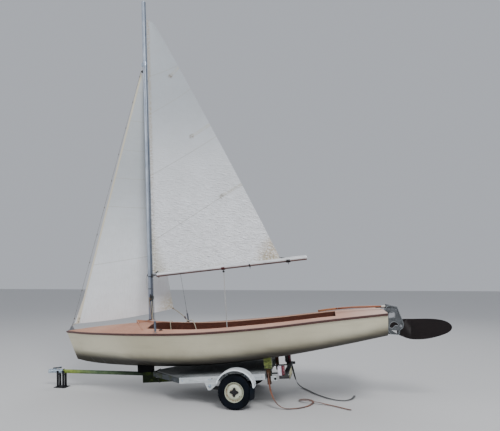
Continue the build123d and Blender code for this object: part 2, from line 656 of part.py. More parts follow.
for up in RUDDER_HINGES:
    notch_low, notch_high = up - 6 - hinge_room, up + gudgeon_plate_h - 6 + hinge_room
    cheek -= stern_plate(upright(0, STOCK_WEB[0][0], notch_low, notch_high), 2 * cheek_t, cheek_y)
stock = cheek + mirrored(cheek)
stock += stern_plate(STOCK_WEB, stock_gap + cheek_t)
stock += stern_plate(STOCK_HEAD, stock_gap + 2)
for piece in pintles:
    stock += piece
pivot = at_stern(*blade_pivot)
bolt_reach = stock_gap / 2 + cheek_t + 8
bolt = rod(pivot - Vector(0, bolt_reach, 0), pivot + Vector(0, bolt_reach, 0), blade_bolt_d)
bolt_bore = rod(pivot - Vector(0, bolt_reach, 0), pivot + Vector(0, bolt_reach, 0), blade_bolt_d + 2 * gap)
blade_edge = Spline(*BLADE)
blade_face = make_face([blade_edge, Line(blade_edge @ 1, blade_edge @ 0)])
blade_plane = Plane(origin=pivot, x_dir=(-1, 0, 0), z_dir=(0, 1, 0))
blade = extrude(blade_plane * blade_face, blade_t / 2, both=True)
blade += rod(pivot - Vector(0, blade_t / 2, 0), pivot + Vector(0, blade_t / 2, 0), 2 * blade_head_r)
parts["rudder_blade"] = blade - bolt_bore

# Tiller, curved a little upwards, with its extension folded back beside it
tiller_path = ThreePointArc(TILLER[0], TILLER[1], TILLER[2])
tiller_start = Plane(origin=tiller_path @ 0, x_dir=(0, 1, 0), z_dir=tiller_path % 0)
tiller = sweep(tiller_start * RectangleRounded(tiller_w, tiller_t, 8), path=tiller_path)
tiller_room = extrude(tiller_start * Rectangle(tiller_w + 2 * gap, tiller_t + 2 * gap), 300, both=True)
stock -= bolt_bore + tiller_room
parts["rudder_stock"] = Compound(stock.solids() + bolt.solids())
extension_start, extension_end = Vector(*EXTENSION[0]), Vector(*EXTENSION[1])
extension_dir = (extension_end - extension_start).normalized()
swivel = extension_start + extension_dir * extension_d
extension = rod(extension_start, extension_end, extension_d)
extension += rod(swivel, swivel - Vector(0, swivel.Y - tiller_w / 2 - gap, 0), extension_d * 0.7)
parts["tiller"] = Compound(tiller.solids() + extension.solids())

# Trailer frame
rail_in, rail_out = rail_y - rail_w / 2, rail_y + rail_w / 2
web_low, web_high = rail_low + rail_wall + gap, rail_high - rail_wall - gap
web_y = rail_out - rail_wall - gap
rail = block((rail_aft, rail_fore), (rail_in, rail_out), (rail_low, rail_high))
rail -= block((rail_aft - 1, rail_fore + 1), (rail_in - 1, rail_out - rail_wall),
              (rail_low + rail_wall, rail_high - rail_wall))
parts["side_rails"] = pair(rail)
crossbars = []
for x, w in CROSS:
    crossbars += channel(Pos(x, 0) * Rectangle(w, 2 * web_y), web_low, web_high, rail_wall).solids()
front_face = CROSS[-1][0] + CROSS[-1][1] / 2 + gap
arm_face = make_face(Polyline((front_face, web_y), (front_face, web_y - 2 * arm_bar_w), (apex_x + 60, 0),
                              (apex_x + 60, arm_bar_w), close=True))
side_bar = channel(arm_face, web_low, web_high, rail_wall)
side_bar -= block((0, apex_x + 100), (-100, bar_d / 2 + gap), (0, tall))
parts["crossmembers"] = Compound(crossbars + pair(side_bar).solids())
sheet = make_face(Polyline((rail_aft, -rail_out), (rail_fore, -rail_out), (apex_x, -bar_d), (apex_x, bar_d),
                           (rail_fore, rail_out), (rail_aft, rail_out), close=True))
parts["trailer_deck"] = Pos(0, 0, rail_high + gap) * extrude(sheet, deck_sheet_t)
spine = block((rail_aft, spine_fore), (-spine_w / 2, spine_w / 2), (spine_low, spine_high))
inner_y = spine_w / 2 - spine_wall
spine -= block((rail_aft - 1, spine_fore - spine_wall), (-inner_y, inner_y),
               (spine_low + spine_wall, spine_high - spine_wall))
hangers = [block((x - 25, x + 25), (-25, 25), (spine_high + gap, web_low - gap)) for x, w in CROSS]
parts["trailer_spine"] = Compound(spine.solids() + [hanger.solids()[0] for hanger in hangers])

# Drawbar, the post that carries it and the keel block, and the coupling
bar_start, bar_end = Vector(bar_aft, 0, bar_aft_z), Vector(bar_fore, 0, bar_fore_z)
bar_dir = (bar_end - bar_start).normalized()
parts["drawbar"] = rod(bar_start, bar_end, bar_d, bar_d - 2 * bar_wall)
bar_room = rod(bar_start - bar_dir * 20, bar_end + bar_dir * 20, bar_d + 2 * gap)
post = block((block_x - post_l / 2, block_x + post_l / 2), (-post_w / 2, post_w / 2),
             (spine_high + gap, block_low - gap))
post -= block((0, 4000), (-bar_d / 2 - gap, bar_d / 2 + gap), (bar_aft_z, tall))
parts["keel_post"] = post - bar_room
hull_solid = room(-gap, 0)
rest_x = (block_x - block_l / 2, block_x + block_l / 2)
keel_block = block(rest_x, (-block_w / 2, block_w / 2), (block_low, block_low + 176))
parts["keel_block"] = keel_block - bar_room - hull_solid
ball_at = bar_end + bar_dir * (coupling_l - ball_d / 2 - coupling_t - coupling_cap)
shell_r = ball_d / 2 + coupling_t
ball_room = Pos(*ball_at) * Sphere(ball_d / 2 + gap)
ball_room += Pos(*(ball_at - Vector(0, 0, 30))) * Cylinder(ball_d / 2 + gap, 60)
sleeve = rod(bar_end - bar_dir * 70, bar_end + bar_dir * 40, bar_d + 2 * coupling_t, bar_d + 2 * gap)
nose = rod(bar_end + bar_dir * 10, ball_at, 2 * shell_r)
nose += Pos(*ball_at) * Sphere(shell_r)
nose += Pos(*(ball_at - Vector(0, 0, socket_l / 2))) * Cylinder(shell_r, socket_l)
handle = Pos(*(bar_end + bar_dir * 50 + Vector(0, 0, bar_d / 2 + 18))) * Rot(0, 14, 0) * Box(150, 26, 12)
grip = Pos(*(bar_end + bar_dir * 92 + Vector(0, 0, bar_d / 2))) * Box(40, 20, 34)
coupling = sleeve + (nose - rod(bar_end, bar_end + bar_dir * 60, bar_d - 8)) + handle + grip
parts["coupling"] = coupling - ball_room

# Nose legs: flat bars each side of the drawbar down to a foot plate that lies flat on the floor
floor_tilt = math.radians(trim)
to_level = Location((0, 0, axle_z)) * Location((0, 0, 0), (0, -trim, 0)) * Location((0, 0, -axle_z))
to_floor = to_level.inverse()
leg_mid = sum(LEGS) / len(LEGS)
foot_x = leg_mid * math.cos(floor_tilt)
stand = to_level * Pos(foot_x, 0, base_t / 2) * Box(base_l, base_w, base_t)
underfoot = to_level * Pos(foot_x, 0, base_t / 2 - 300) * Box(800, 800, 600)
side = bar_d / 2 + gap
for x in LEGS:
    bar_z = bar_aft_z + (x - bar_aft) * (bar_fore_z - bar_aft_z) / (bar_fore - bar_aft)
    leg_x = (x - leg_w / 2, x + leg_w / 2)
    leg = block(leg_x, (side, side + leg_t), (0, bar_z + 12))
    brace = block(leg_x, (-side - leg_t, side + leg_t), (bar_z - side - 26, bar_z - side - 18))
    stand += (leg + mirrored(leg) + brace) - underfoot
sleeve_d = bar_d + 2 * coupling_t
parts["nose_legs"] = stand - rod(bar_end - bar_dir * 72, bar_end + bar_dir * 60, sleeve_d + 2 * gap)

# Wheels: tyre, pressed rim and lobed hub, turned about the axle
rim_r, flange_r = rim_d / 2, flange_d / 2
half_bead, half_tyre, half_tread = bead_w / 2, tyre_w / 2, tread_w / 2
tyre_r = tyre_d / 2
bead, heel = (rim_r + gap, half_bead - gap), (flange_r + 2, half_bead - gap)
shoulder, crown = (tyre_r - 9, half_tread + 6), (tyre_r, half_tread - 8)


def across_wheel(points):
    return [(r, -y) for r, y in reversed(points)]


wall_port = [Line(bead, heel), ThreePointArc(heel, ((heel[0] + shoulder[0]) / 2 - 6, half_tyre), shoulder),
             Line(shoulder, crown)]
wall_star = [edge.mirror(Plane.XZ) for edge in wall_port]
tread, well = Line(crown, (crown[0], -crown[1])), Line(bead, (bead[0], -bead[1]))
tyre_face = make_face(wall_port + wall_star + [tread, well])
lip_y = half_bead + flange_t
disc_r, lap_r = rim_r - rim_t, hub_d / 2 - 8
# How far out and how far to the side the rim's pressed section goes, from its outer flange round
rim_points = [
    (flange_r, half_bead), (flange_r, lip_y), (disc_r, lip_y), (disc_r, 12), (rim_r - 34, 16), (rim_r - 52, 26),
    (lap_r, 26), (lap_r, 21), (rim_r - 54, 21), (rim_r - 36, 11), (disc_r, 6), (disc_r, -lip_y),
    (flange_r, -lip_y), (flange_r, -half_bead), (rim_r, -half_bead), (rim_r, half_bead),
]
rim_face = make_face(Polyline(*rim_points, close=True))
bore_r = stub_d / 2 + bearing_play
hub_points = [
    (bore_r, -hub_in), (hub_d / 2, -hub_in), (hub_d / 2, 21 - gap), (lap_r - gap, 21 - gap),
    (lap_r - gap, 26 + gap), (bore_r + 4, 26 + gap), (bore_r, 26),
]
hub_face = make_face(Polyline(*hub_points, close=True))


def wheel_turned(face):
    """A face of radius and side turned about the port wheel's axis."""
    turned = revolve(face, Axis.Y)
    return Pos(0, wheel_y, axle_z) * turned


spider = Plane.XZ * (Circle(hub_d / 2) + Rot(0, 0, 45) * Rectangle(2 * lobe_r, lobe_w)
                     + Rot(0, 0, -45) * Rectangle(2 * lobe_r, lobe_w))
spider = Pos(0, wheel_y + 26 + gap + lobe_t, axle_z) * extrude(spider, lobe_t)
spider -= rod((0, wheel_y, axle_z), (0, wheel_y + 26 + gap + lobe_t - 3, axle_z), 2 * bore_r)
tyre, rim, hub = wheel_turned(tyre_face), wheel_turned(rim_face), wheel_turned(hub_face) + spider
wheel = Compound(rim.solids() + hub.solids())
for name, piece in [("tyre", tyre), ("wheel", wheel)]:
    parts[f"{name}_port"] = piece
    parts[f"{name}_starboard"] = mirrored(piece)

# Suspension: two tubes across the frame, trailing arms with the stub axles, and the brackets
arm_y = rail_out - bracket_t - gap - arm_t / 2
arm_plate = profile([(pivot_x - 10, pivot_z - arm_w / 2), (pivot_x - 10, pivot_z + arm_w / 2),
                     (0, axle_z + arm_w / 2), (0, axle_z - arm_w / 2)], arm_t, arm_y)
arm = arm_plate
for x, z in [(pivot_x, pivot_z), (0, axle_z)]:
    arm += rod((x, arm_y - arm_t / 2, z), (x, arm_y + arm_t / 2, z), arm_w + 12)
arm += rod((0, arm_y, axle_z), (0, wheel_y + 26, axle_z), stub_d)
tube_y = arm_y - arm_t / 2 - gap
half_tube = rod((pivot_x, spine_w / 2 + gap, pivot_z), (pivot_x, tube_y, pivot_z), pivot_d, pivot_d - 8)
saddle = block((pivot_x - 20, pivot_x + 20), (saddle_y - 30, saddle_y + 30), (pivot_z, web_low - gap))
saddle -= rod((pivot_x, 0, pivot_z), (pivot_x, rail_y, pivot_z), pivot_d + 2 * gap)
sprung = [pair(piece).solids() for piece in (arm, half_tube, saddle)]
parts["suspension"] = Compound([solid for solids in sprung for solid in solids])
bracket_corners = [(pivot_x + bracket_fore, rail_low - gap), (pivot_x + BRACKET[0][0], rail_low - gap)]
bracket_corners += [(pivot_x + fore, pivot_z + up) for fore, up in BRACKET]
bracket = profile(bracket_corners, bracket_t, rail_out - bracket_t / 2)
parts["suspension_brackets"] = pair(bracket)

# Mudguards and flaps
guard_in = rail_out + gap
guard_start = math.radians(guard_from)
guard_plane = Plane(
    origin=(guard_x, guard_in, guard_z),
    x_dir=(math.cos(guard_start), 0, math.sin(guard_start)),
    z_dir=(-math.sin(guard_start), 0, math.cos(guard_start)),
)
guard_points = [(guard_r, 0), (guard_r, guard_w), (guard_r - guard_lip, guard_w),
                (guard_r - guard_lip, guard_w - guard_t), (guard_r - guard_t, guard_w - guard_t),
                (guard_r - guard_t, 0)]
guard_face = guard_plane * make_face(Polyline(*guard_points, close=True))
guard = revolve(guard_face, Axis((guard_x, 0, guard_z), (0, -1, 0)), revolution_arc=guard_to - guard_from)
for x in (guard_x - 130, guard_x + 130):
    lug_top = guard_z + math.sqrt((guard_r - 1) ** 2 - (abs(x - guard_x) + 20) ** 2)
    guard += block((x - 20, x + 20), (guard_in, guard_in + guard_t), (rail_low + 20, lug_top))
parts["mudguards"] = pair(guard)
flap_x = guard_x - guard_r + guard_t + gap
flap_top = guard_z + 4
flap = profile([(flap_x, flap_top), (flap_x + flap_t, flap_top), (flap_x + flap_t + flap_lean, flap_low),
                (flap_x + flap_lean, flap_low)], flap_w, wheel_y + 8)
parts["mudflaps"] = pair(flap)

# Bilge posts with their pads, the lamp bar and the blank plate
bilge_x = CROSS[0][0] - CROSS[0][1] / 2 - bilge_w / 2 - gap
bilge_post = channel(Pos(bilge_x, bilge_y) * Rectangle(bilge_w, bilge_w), bilge_low, bilge_high, rail_wall)
parts["bilge_posts"] = pair(bilge_post)
pad = block((bilge_x - pad_l / 2, bilge_x + pad_l / 2), (bilge_y - pad_w / 2, bilge_y + pad_w / 2),
            (bilge_high + gap, pad_high))
parts["bilge_pads"] = pair(pad - hull_solid)
bar_x = (lamp_bar_x - lamp_bar_w / 2, lamp_bar_x + lamp_bar_w / 2)
bar_face = Pos(lamp_bar_x, 0) * Rectangle(lamp_bar_w, 2 * lamp_bar_y)
lamp_bar = channel(bar_face, lamp_bar_low, lamp_bar_high, rail_wall)
lamp_arm = block((bar_x[1] + gap, CROSS[0][0] - CROSS[0][1] / 2 - gap),
                 (lamp_arm_y - lamp_arm_w / 2, lamp_arm_y + lamp_arm_w / 2), (web_low, web_low + 16))
parts["lamp_bar"] = Compound(lamp_bar.solids() + pair(lamp_arm).solids())
lamp = block((bar_x[0] + 22, bar_x[0] + 22 + lamp_l), (lamp_y - lamp_w / 2, lamp_y + lamp_w / 2),
             (lamp_bar_high + gap, lamp_bar_high + gap + lamp_h))
lamp = fillet(lamp.edges().filter_by(Axis.Z), 12)
parts["tail_lamps"] = pair(lamp)
parts["number_plate"] = block((bar_x[0] - gap - plate_t, bar_x[0] - gap), (-plate_w / 2, plate_w / 2),
                              (lamp_bar_high - 10 - plate_h, lamp_bar_high - 10))

# Straps
cords = {}


def strap(points):
    """A round stand-in for a strap: straight runs joined by arcs as large as the runs allow."""
    nodes = [Vector(*point) for point in points]
    radii = []
    for before, here, after in zip(nodes, nodes[1:], nodes[2:]):
        turn = (here - before).get_angle(after - here)
        shorter = min((here - before).length, (after - here).length)
        radii.append(0.45 * shorter / math.tan(math.radians(turn / 2)))
    path = FilletPolyline(*nodes, radius=radii)
    section = Plane(origin=path @ 0, z_dir=path % 0) * Circle(strap_d / 2)
    return sweep(section, path=path)


cords["strap_port"] = strap(STRAP_A)
cords["strap_starboard"] = strap(STRAP_B)

# Stand it on the floor, bow down by the trim, with the origin under the middle of its box
standing = {name: to_floor * shape for name, shape in parts.items()}
boxes = [shape.bounding_box() for shape in standing.values()]
middle_x = (min(box.min.X for box in boxes) + max(box.max.X for box in boxes)) / 2
placed = {name: Pos(-middle_x, 0, 0) * shape for name, shape in {**standing, **cords}.items()}
os.makedirs("parts", exist_ok=True)
for name, shape in placed.items():
    solids = shape.solids()
    export_step(shape if len(solids) > 1 else solids[0], f"parts/{name}.step")
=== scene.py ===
import json
import math

import bmesh
import bpy
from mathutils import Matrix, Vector, noise


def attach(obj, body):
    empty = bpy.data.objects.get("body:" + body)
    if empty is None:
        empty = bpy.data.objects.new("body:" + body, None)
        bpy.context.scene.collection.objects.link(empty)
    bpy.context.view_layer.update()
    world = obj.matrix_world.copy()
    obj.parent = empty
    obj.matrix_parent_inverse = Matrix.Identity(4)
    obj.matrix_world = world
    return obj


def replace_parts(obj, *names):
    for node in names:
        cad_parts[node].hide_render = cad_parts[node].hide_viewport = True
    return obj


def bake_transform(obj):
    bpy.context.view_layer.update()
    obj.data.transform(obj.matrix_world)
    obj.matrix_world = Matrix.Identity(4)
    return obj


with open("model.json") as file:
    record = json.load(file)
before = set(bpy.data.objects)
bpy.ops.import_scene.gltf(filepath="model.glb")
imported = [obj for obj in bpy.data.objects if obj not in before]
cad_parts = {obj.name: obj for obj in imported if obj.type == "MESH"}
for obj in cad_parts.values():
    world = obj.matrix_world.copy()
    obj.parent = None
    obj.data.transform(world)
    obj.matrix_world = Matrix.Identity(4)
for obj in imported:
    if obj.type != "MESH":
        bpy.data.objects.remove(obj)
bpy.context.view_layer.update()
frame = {"nodes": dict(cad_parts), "record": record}
joints = {joint["name"]: joint for joint in frame["record"]["behaviour"]["joints"]}

# The camera, the floor and the lights. The boat is seen from its port side, from a standing eye's
# height and a little aft of the middle, on a pale studio floor under broad soft lamps.
camera_at = Vector((-1.43877, 6.69180, 1.73942))
camera_looks = Vector((0.17602, -0.97366, 0.14489))
camera = bpy.data.objects.new("camera", bpy.data.cameras.new("camera"))
bpy.context.collection.objects.link(camera)
camera.location = camera_at
camera.rotation_euler = camera_looks.to_track_quat("-Z", "Y").to_euler()
camera.data.sensor_width = 36.0
camera.data.lens = 31.104
bpy.context.scene.camera = camera

bpy.ops.mesh.primitive_plane_add(size=120, location=(0, 0, 0))
floor = bpy.context.object
floor.name = "studio_floor"
floor_paint = bpy.data.materials.new("studio floor")
floor_paint.use_nodes = True
floor_paint.node_tree.nodes["Principled BSDF"].inputs["Base Color"].default_value = (0.60, 0.60, 0.60, 1)
floor_paint.node_tree.nodes["Principled BSDF"].inputs["Roughness"].default_value = 0.8
floor.data.materials.append(floor_paint)
sky = bpy.data.worlds.new("studio")
sky.use_nodes = True
sky.node_tree.nodes["Background"].inputs["Color"].default_value = (0.88, 0.92, 1.0, 1)
sky.node_tree.nodes["Background"].inputs["Strength"].default_value = 0.55
bpy.context.scene.world = sky
# name, place, what it faces, size, power
LAMPS = [
    ("key", (-5.0, 9.0, 11.0), (0.0, 0.0, 2.0), 5.0, 1500),
    ("fill", (9.0, 8.0, 7.0), (0.5, 0.0, 2.0), 7.0, 420),
    ("back", (0.0, -10.0, 9.0), (0.0, 0.0, 3.0), 8.0, 350),
]
for name, place, target, size, power in LAMPS:
    lamp = bpy.data.objects.new(name, bpy.data.lights.new(name, "AREA"))
    bpy.context.collection.objects.link(lamp)
    lamp.location = place
    lamp.rotation_euler = (Vector(target) - Vector(place)).to_track_quat("-Z", "Y").to_euler()
    lamp.data.size = size
    lamp.data.energy = power


# Two loose lashing straps, one of brown and one of black webbing. Each is tucked in at the rear of
# the trailer and lies in loose curves on the ground.
class Signal:
    """A value that varies over a surface. Python's signs on it add Math nodes to its material."""

    def __init__(self, tree, socket):
        self.tree = tree
        self.socket = socket

    def node(self, kind, inputs, output=0, **settings):
        """Adds a node of a kind: its settings first, then the values or links of its sockets."""
        made = self.tree.nodes.new("ShaderNode" + kind)
        for name, value in settings.items():
            setattr(made, name, value)
        for name, value in inputs.items():
            if isinstance(value, Signal):
                self.tree.links.new(value.socket, made.inputs[name])
            else:
                made.inputs[name].default_value = value
        return Signal(self.tree, made.outputs[output])

    def maths(self, operation, first, second):
        return self.node("Math", {0: first, 1: second}, operation=operation)

    def __add__(self, other):
        return self.maths("ADD", self, other)

    def __radd__(self, other):
        return self.maths("ADD", other, self)

    def __sub__(self, other):
        return self.maths("SUBTRACT", self, other)

    def __rsub__(self, other):
        return self.maths("SUBTRACT", other, self)

    def __mul__(self, other):
        return self.maths("MULTIPLY", self, other)

    def __rmul__(self, other):
        return self.maths("MULTIPLY", other, self)

    def __abs__(self):
        return self.maths("ABSOLUTE", self, 0.0)

    def either(self, other):
        """The larger of two masks."""
        return self.maths("MAXIMUM", self, other)

    def axis(self, name):
        """One coordinate of a place."""
        return self.node("SeparateXYZ", {0: self}, output=name)

    def stretched(self, x, y, z):
        """A place with its axes scaled, so that a pattern on it runs long or fine."""
        return self.node("Mapping", {"Vector": self, "Scale": (x, y, z)})

    def turned(self, x, y, z):
        """A place turned about its axes by degrees, so that a pattern on it runs aslant."""
        return self.node("Mapping", {"Vector": self, "Rotation": tuple(map(math.radians, (x, y, z)))})

    def clouds(self, scale, detail=4.0, rough=0.55):
        return self.node("TexNoise", {"Vector": self, "Scale": scale, "Detail": detail, "Roughness": rough})

    def cells(self, scale, feature="F1"):
        return self.node("TexVoronoi", {"Vector": self, "Scale": scale}, feature=feature)

    def rises(self, low, high):
        """0 below low, 1 above high, smooth between them."""
        return self.node("MapRange", {"Value": self, "From Min": low, "From Max": high},
                         interpolation_type="SMOOTHSTEP")

    def falls(self, low, high):
        """1 below low, 0 above high, smooth between them."""
        return 1 - self.rises(low, high)

    def stripes(self, pitch, width, edge):
        """1 on lines of a width, a pitch apart, along a coordinate, and 0 between them."""
        return self.maths("PINGPONG", self, pitch / 2).falls(width / 2, width / 2 + edge)

    def blend(self, low, high):
        """The colour low where this is 0, and high where it is 1."""
        return self.node("Mix", {0: self, 6: low, 7: high}, output=2, data_type="RGBA")


def tone(red, green, blue):
    """A shader colour from the 0 to 255 values of a paint card."""
    parts = [value / 255 for value in (red, green, blue)]
    linear = [part / 12.92 if part <= 0.04045 else ((part + 0.055) / 1.055) ** 2.4 for part in parts]
    return (*linear, 1.0)


class Finish:
    """A material in the making: its shader, and the places that its patterns are read from."""

    def __init__(self, name, **fixed):
        self.material = bpy.data.materials.new(name)
        self.material.use_nodes = True
        self.tree = self.material.node_tree
        self.shader = self.tree.nodes["Principled BSDF"]
        for socket, value in fixed.items():
            self.shader.inputs[socket.replace("_", " ")].default_value = value
        where = self.tree.nodes.new("ShaderNodeTexCoord")
        self.place = Signal(self.tree, where.outputs["Object"])
        self.unrolled = Signal(self.tree, where.outputs["UV"])

    def made(self, color, rough, relief=None, height=0.001, metallic=None):
        """Links what varies over the surface: colour, roughness, metal and the height of its relief."""
        sockets = {"Base Color": color, "Roughness": rough}
        if metallic is not None:
            sockets["Metallic"] = metallic
        if relief is not None:
            sockets["Normal"] = relief.node("Bump", {"Height": relief, "Distance": height})
        for socket, value in sockets.items():
            if isinstance(value, Signal):
                self.tree.links.new(value.socket, self.shader.inputs[socket])
            else:
                self.shader.inputs[socket].default_value = value
        return self.material


def webbing(name, dark, light):
    """Woven polyester webbing, faded on top of its ribs."""
    finish = Finish(name, Sheen_Weight=0.3)
    ribs = finish.unrolled.axis("X").stripes(0.002, 0.0006, 0.0004)
    color = finish.place.clouds(9.0, 6.0).rises(0.35, 0.7).blend(dark, light)
    weave = finish.place.turned(0, 0, 45).cells(700.0)
    return finish.made(color, 0.85, weave * 0.6 + ribs * 0.4, 0.0006)


def smooth_line(name, points):
    """A curve of one open spline drawn smoothly along points."""
    curve = bpy.data.curves.new(name, "CURVE")
    curve.dimensions = "3D"
    line = curve.splines.new("NURBS")
    line.points.add(len(points) - 1)
    for knot, point in zip(line.points, points):
        knot.co = (*point, 1.0)
    line.order_u = 3
    line.use_endpoint_u = True
    piece = bpy.data.objects.new(name, curve)
    bpy.context.collection.objects.link(piece)
    return piece


def line_length(piece):
    """How long a curve's own line is, before it has any thickness."""
    bare = bpy.data.meshes.new_from_object(piece)
    points = [vertex.co.copy() for vertex in bare.vertices]
    bpy.data.meshes.remove(bare)
    return sum((after - before).length for before, after in zip(points, points[1:]))


webbing_width = 0.030
webbing_thickness = 0.0022
axle = Vector(joints["wheel_port_spin"]["pos_m"])
# Each strap's way in metres from the point on the floor under the axle
STRAP_PORT = [
    (-0.431, 0.5354, 0.462), (-0.437, 0.5356, 0.395), (-0.450, 0.541, 0.300), (-0.478, 0.562, 0.195),
    (-0.524, 0.582, 0.105), (-0.592, 0.594, 0.038), (-0.676, 0.588, 0.012), (-0.766, 0.560, 0.011),
    (-0.856, 0.512, 0.011), (-0.940, 0.432, 0.011), (-1.004, 0.322, 0.011), (-1.034, 0.200, 0.011),
    (-1.006, 0.092, 0.011), (-0.918, 0.048, 0.011), (-0.836, 0.092, 0.012), (-0.836, 0.186, 0.024),
    (-0.912, 0.240, 0.036), (-1.010, 0.256, 0.036), (-1.106, 0.262, 0.030), (-1.200, 0.276, 0.014),
    (-1.290, 0.312, 0.011), (-1.380, 0.372, 0.011), (-1.462, 0.432, 0.011), (-1.540, 0.478, 0.011),
]
STRAP_STARBOARD = [
    (-0.661, -0.5504, 0.424), (-0.666, -0.551, 0.376), (-0.680, -0.582, 0.300), (-0.698, -0.626, 0.205),
    (-0.720, -0.656, 0.112), (-0.762, -0.656, 0.042), (-0.824, -0.606, 0.013), (-0.894, -0.510, 0.011),
    (-0.966, -0.390, 0.011), (-1.042, -0.268, 0.011), (-1.136, -0.150, 0.011), (-1.240, -0.046, 0.011),
    (-1.350, 0.030, 0.011), (-1.462, 0.044, 0.011), (-1.552, -0.026, 0.011), (-1.600, -0.140, 0.011),
    (-1.626, -0.262, 0.011),
]
# node, slot, way, dark and light colours of the webbing
STRAPS = [
    ("strap_port", "brown_webbing", STRAP_PORT, tone(86, 42, 24), tone(140, 84, 54)),
    ("strap_starboard", "black_webbing", STRAP_STARBOARD, tone(20, 20, 22), tone(52, 52, 54)),
]
for name, slot, way, dark, light in STRAPS:
    route = [Vector(point) + Vector((axle.x, 0, 0)) for point in way]
    strap = smooth_line(name + "_webbing", route)
    length = line_length(strap)
    strap.data.resolution_u = 6
    strap.data.twist_mode = "Z_UP"
    strap.data.extrude = webbing_width / 2
    strap.data.bevel_depth = webbing_thickness / 2
    strap.data.bevel_resolution = 1
    for knot in strap.data.splines[0].points:
        knot.tilt = math.pi / 2
    strap.data.materials.append(webbing(name + " webbing", dark, light))
    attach(strap, "root")
    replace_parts(strap, name)


# The trailer's frame: two white rails, their paint chalky and flaking, joined by crossmembers. The
# crossmembers, the spine, the drawbar's tube and the posts are green, with moss, scale and rust.
def dressed(material, *nodes):
    """Gives nodes their material."""
    for node in nodes:
        piece = frame["nodes"][node]
        piece.data.materials.clear()
        piece.data.materials.append(material)


def painted(name, dark, light, bare_dark, bare_light, wear, rough=0.45, moss=None, spots=28.0, **fixed):
    """Brushed paint that has chipped off to its metal where the spots rise above wear."""
    finish = Finish(name, **fixed)
    place = finish.place
    broad = place.clouds(3.0, 5.0, 0.6)
    streaks = place.stretched(0.5, 1.0, 3.0).clouds(16.0, 5.0, 0.6)
    chips = place.clouds(spots, 7.0, 0.7)
    color = (broad * 0.5 + streaks * 0.5).rises(0.35, 0.65).blend(dark, light)
    worn = (chips * 0.75 + broad * 0.25).rises(wear, wear + 0.03)
    ring = (chips * 0.75 + broad * 0.25).rises(wear - 0.04, wear)
    color = (ring * 0.35).blend(color, bare_light)
    color = worn.blend(color, chips.rises(wear, wear + 0.2).blend(bare_light, bare_dark))
    if moss:
        color = ((place.clouds(11.0, 6.0, 0.65) + broad * 0.3).rises(0.62, 0.78) * 0.8).blend(color, moss)
    return finish.made(color, rough + broad * 0.15 + worn * 0.3, (1 - worn) * 0.6 + streaks * 0.2, 0.0006)


rail_white = painted("rail paint", tone(166, 172, 176), tone(206, 211, 213), tone(84, 78, 72),
                     tone(140, 138, 134), 0.60)
dressed(rail_white, "side_rails", "suspension_brackets")
frame_green = painted("frame green", tone(14, 22, 12), tone(32, 46, 20), tone(26, 17, 12), tone(52, 36, 24),
                      0.60, 0.7, tone(58, 72, 24), Specular_IOR_Level=0.2)
dressed(frame_green, "trailer_spine", "keel_post")
frame_grey = painted("frame grey", tone(58, 62, 66), tone(90, 95, 100), tone(44, 36, 30), tone(70, 66, 60),
                     0.60, 0.7, tone(66, 72, 52), Specular_IOR_Level=0.2)
dressed(frame_grey, "crossmembers", "lamp_bar")
# the drawbar's paint is dark at the frame, paler in the middle and yellow-green with lichen in front
finish = Finish("drawbar green", Specular_IOR_Level=0.25)
place = finish.place
broad = place.clouds(3.0, 5.0, 0.6)
chips = place.stretched(0.5, 1.0, 1.0).clouds(26.0, 7.0, 0.7)
forward = (place.axis("X") + broad * 0.6).rises(2.5, 3.1)
color = (broad * 0.5 + chips * 0.5).rises(0.35, 0.65).blend(tone(14, 24, 18), tone(36, 52, 40))
middle = (place.axis("X") + broad * 0.5).rises(1.7, 2.4)
color = middle.blend(color, chips.rises(0.3, 0.7).blend(tone(64, 84, 58), tone(100, 122, 88)))
color = (forward * 0.8).blend(color, chips.rises(0.3, 0.7).blend(tone(104, 122, 40), tone(160, 174, 80)))
color = (chips.rises(0.60, 0.66) * 0.8).blend(color, tone(74, 46, 32))
dressed(finish.made(color, 0.55 + broad * 0.2, chips, 0.0008), "drawbar")
rust_post = painted("rusty post", tone(44, 28, 20), tone(84, 56, 40), tone(38, 20, 14), tone(58, 68, 28),
                    0.56, 0.75, Specular_IOR_Level=0.2)
dressed(rust_post, "bilge_posts")

# The deck of the trailer: sheets of plywood gone dark grey, their grain raised and split by the
# weather, with stains and lichen.
finish = Finish("weathered boards", Specular_IOR_Level=0.2)
place = finish.place
grain = place.stretched(1.0, 18.0, 18.0).clouds(10.0, 8.0, 0.7)
broad = place.clouds(2.2, 6.0, 0.6)
splits = place.stretched(1.0, 30.0, 30.0).cells(3.0)
lichen = place.clouds(26.0, 6.0, 0.7)
color = (grain * 0.6 + broad * 0.4).rises(0.35, 0.66).blend(tone(88, 92, 94), tone(152, 155, 156))
color = (splits.falls(0.05, 0.16) * 0.5).blend(color, tone(26, 25, 28))
color = (lichen.rises(0.64, 0.72) * 0.5).blend(color, tone(120, 122, 112))
boards = finish.made(color, 0.8 + broad * 0.15, grain * 0.7 + splits * 0.5, 0.0025)
dressed(boards, "trailer_deck")


# The coupling: a cast and pressed head for a ball, galvanised to a dull blue white. Two bolts go through
# its sleeve, a black lever and grip lie on top, and a rubber ring closes the tube behind it. The legs
# and the foot that the drawbar parks on, and the suspension, are painted black.
def pitted(name, dark, light, rough, metallic):
    """Cast or galvanised metal: blotches of zinc and small pits."""
    finish = Finish(name)
    place = finish.place
    blotch = place.cells(55.0)
    clouds = place.clouds(12.0, 6.0, 0.6)
    pits = place.clouds(140.0, 4.0, 0.7)
    color = (blotch * 0.8 + clouds * 0.5).rises(0.3, 0.85).blend(dark, light)
    color = (pits.rises(0.6, 0.7) * 0.4).blend(color, tone(70, 66, 62))
    return finish.made(color, rough + clouds * 0.2, clouds * 0.5 + pits, 0.0006, metallic - pits * 0.2)


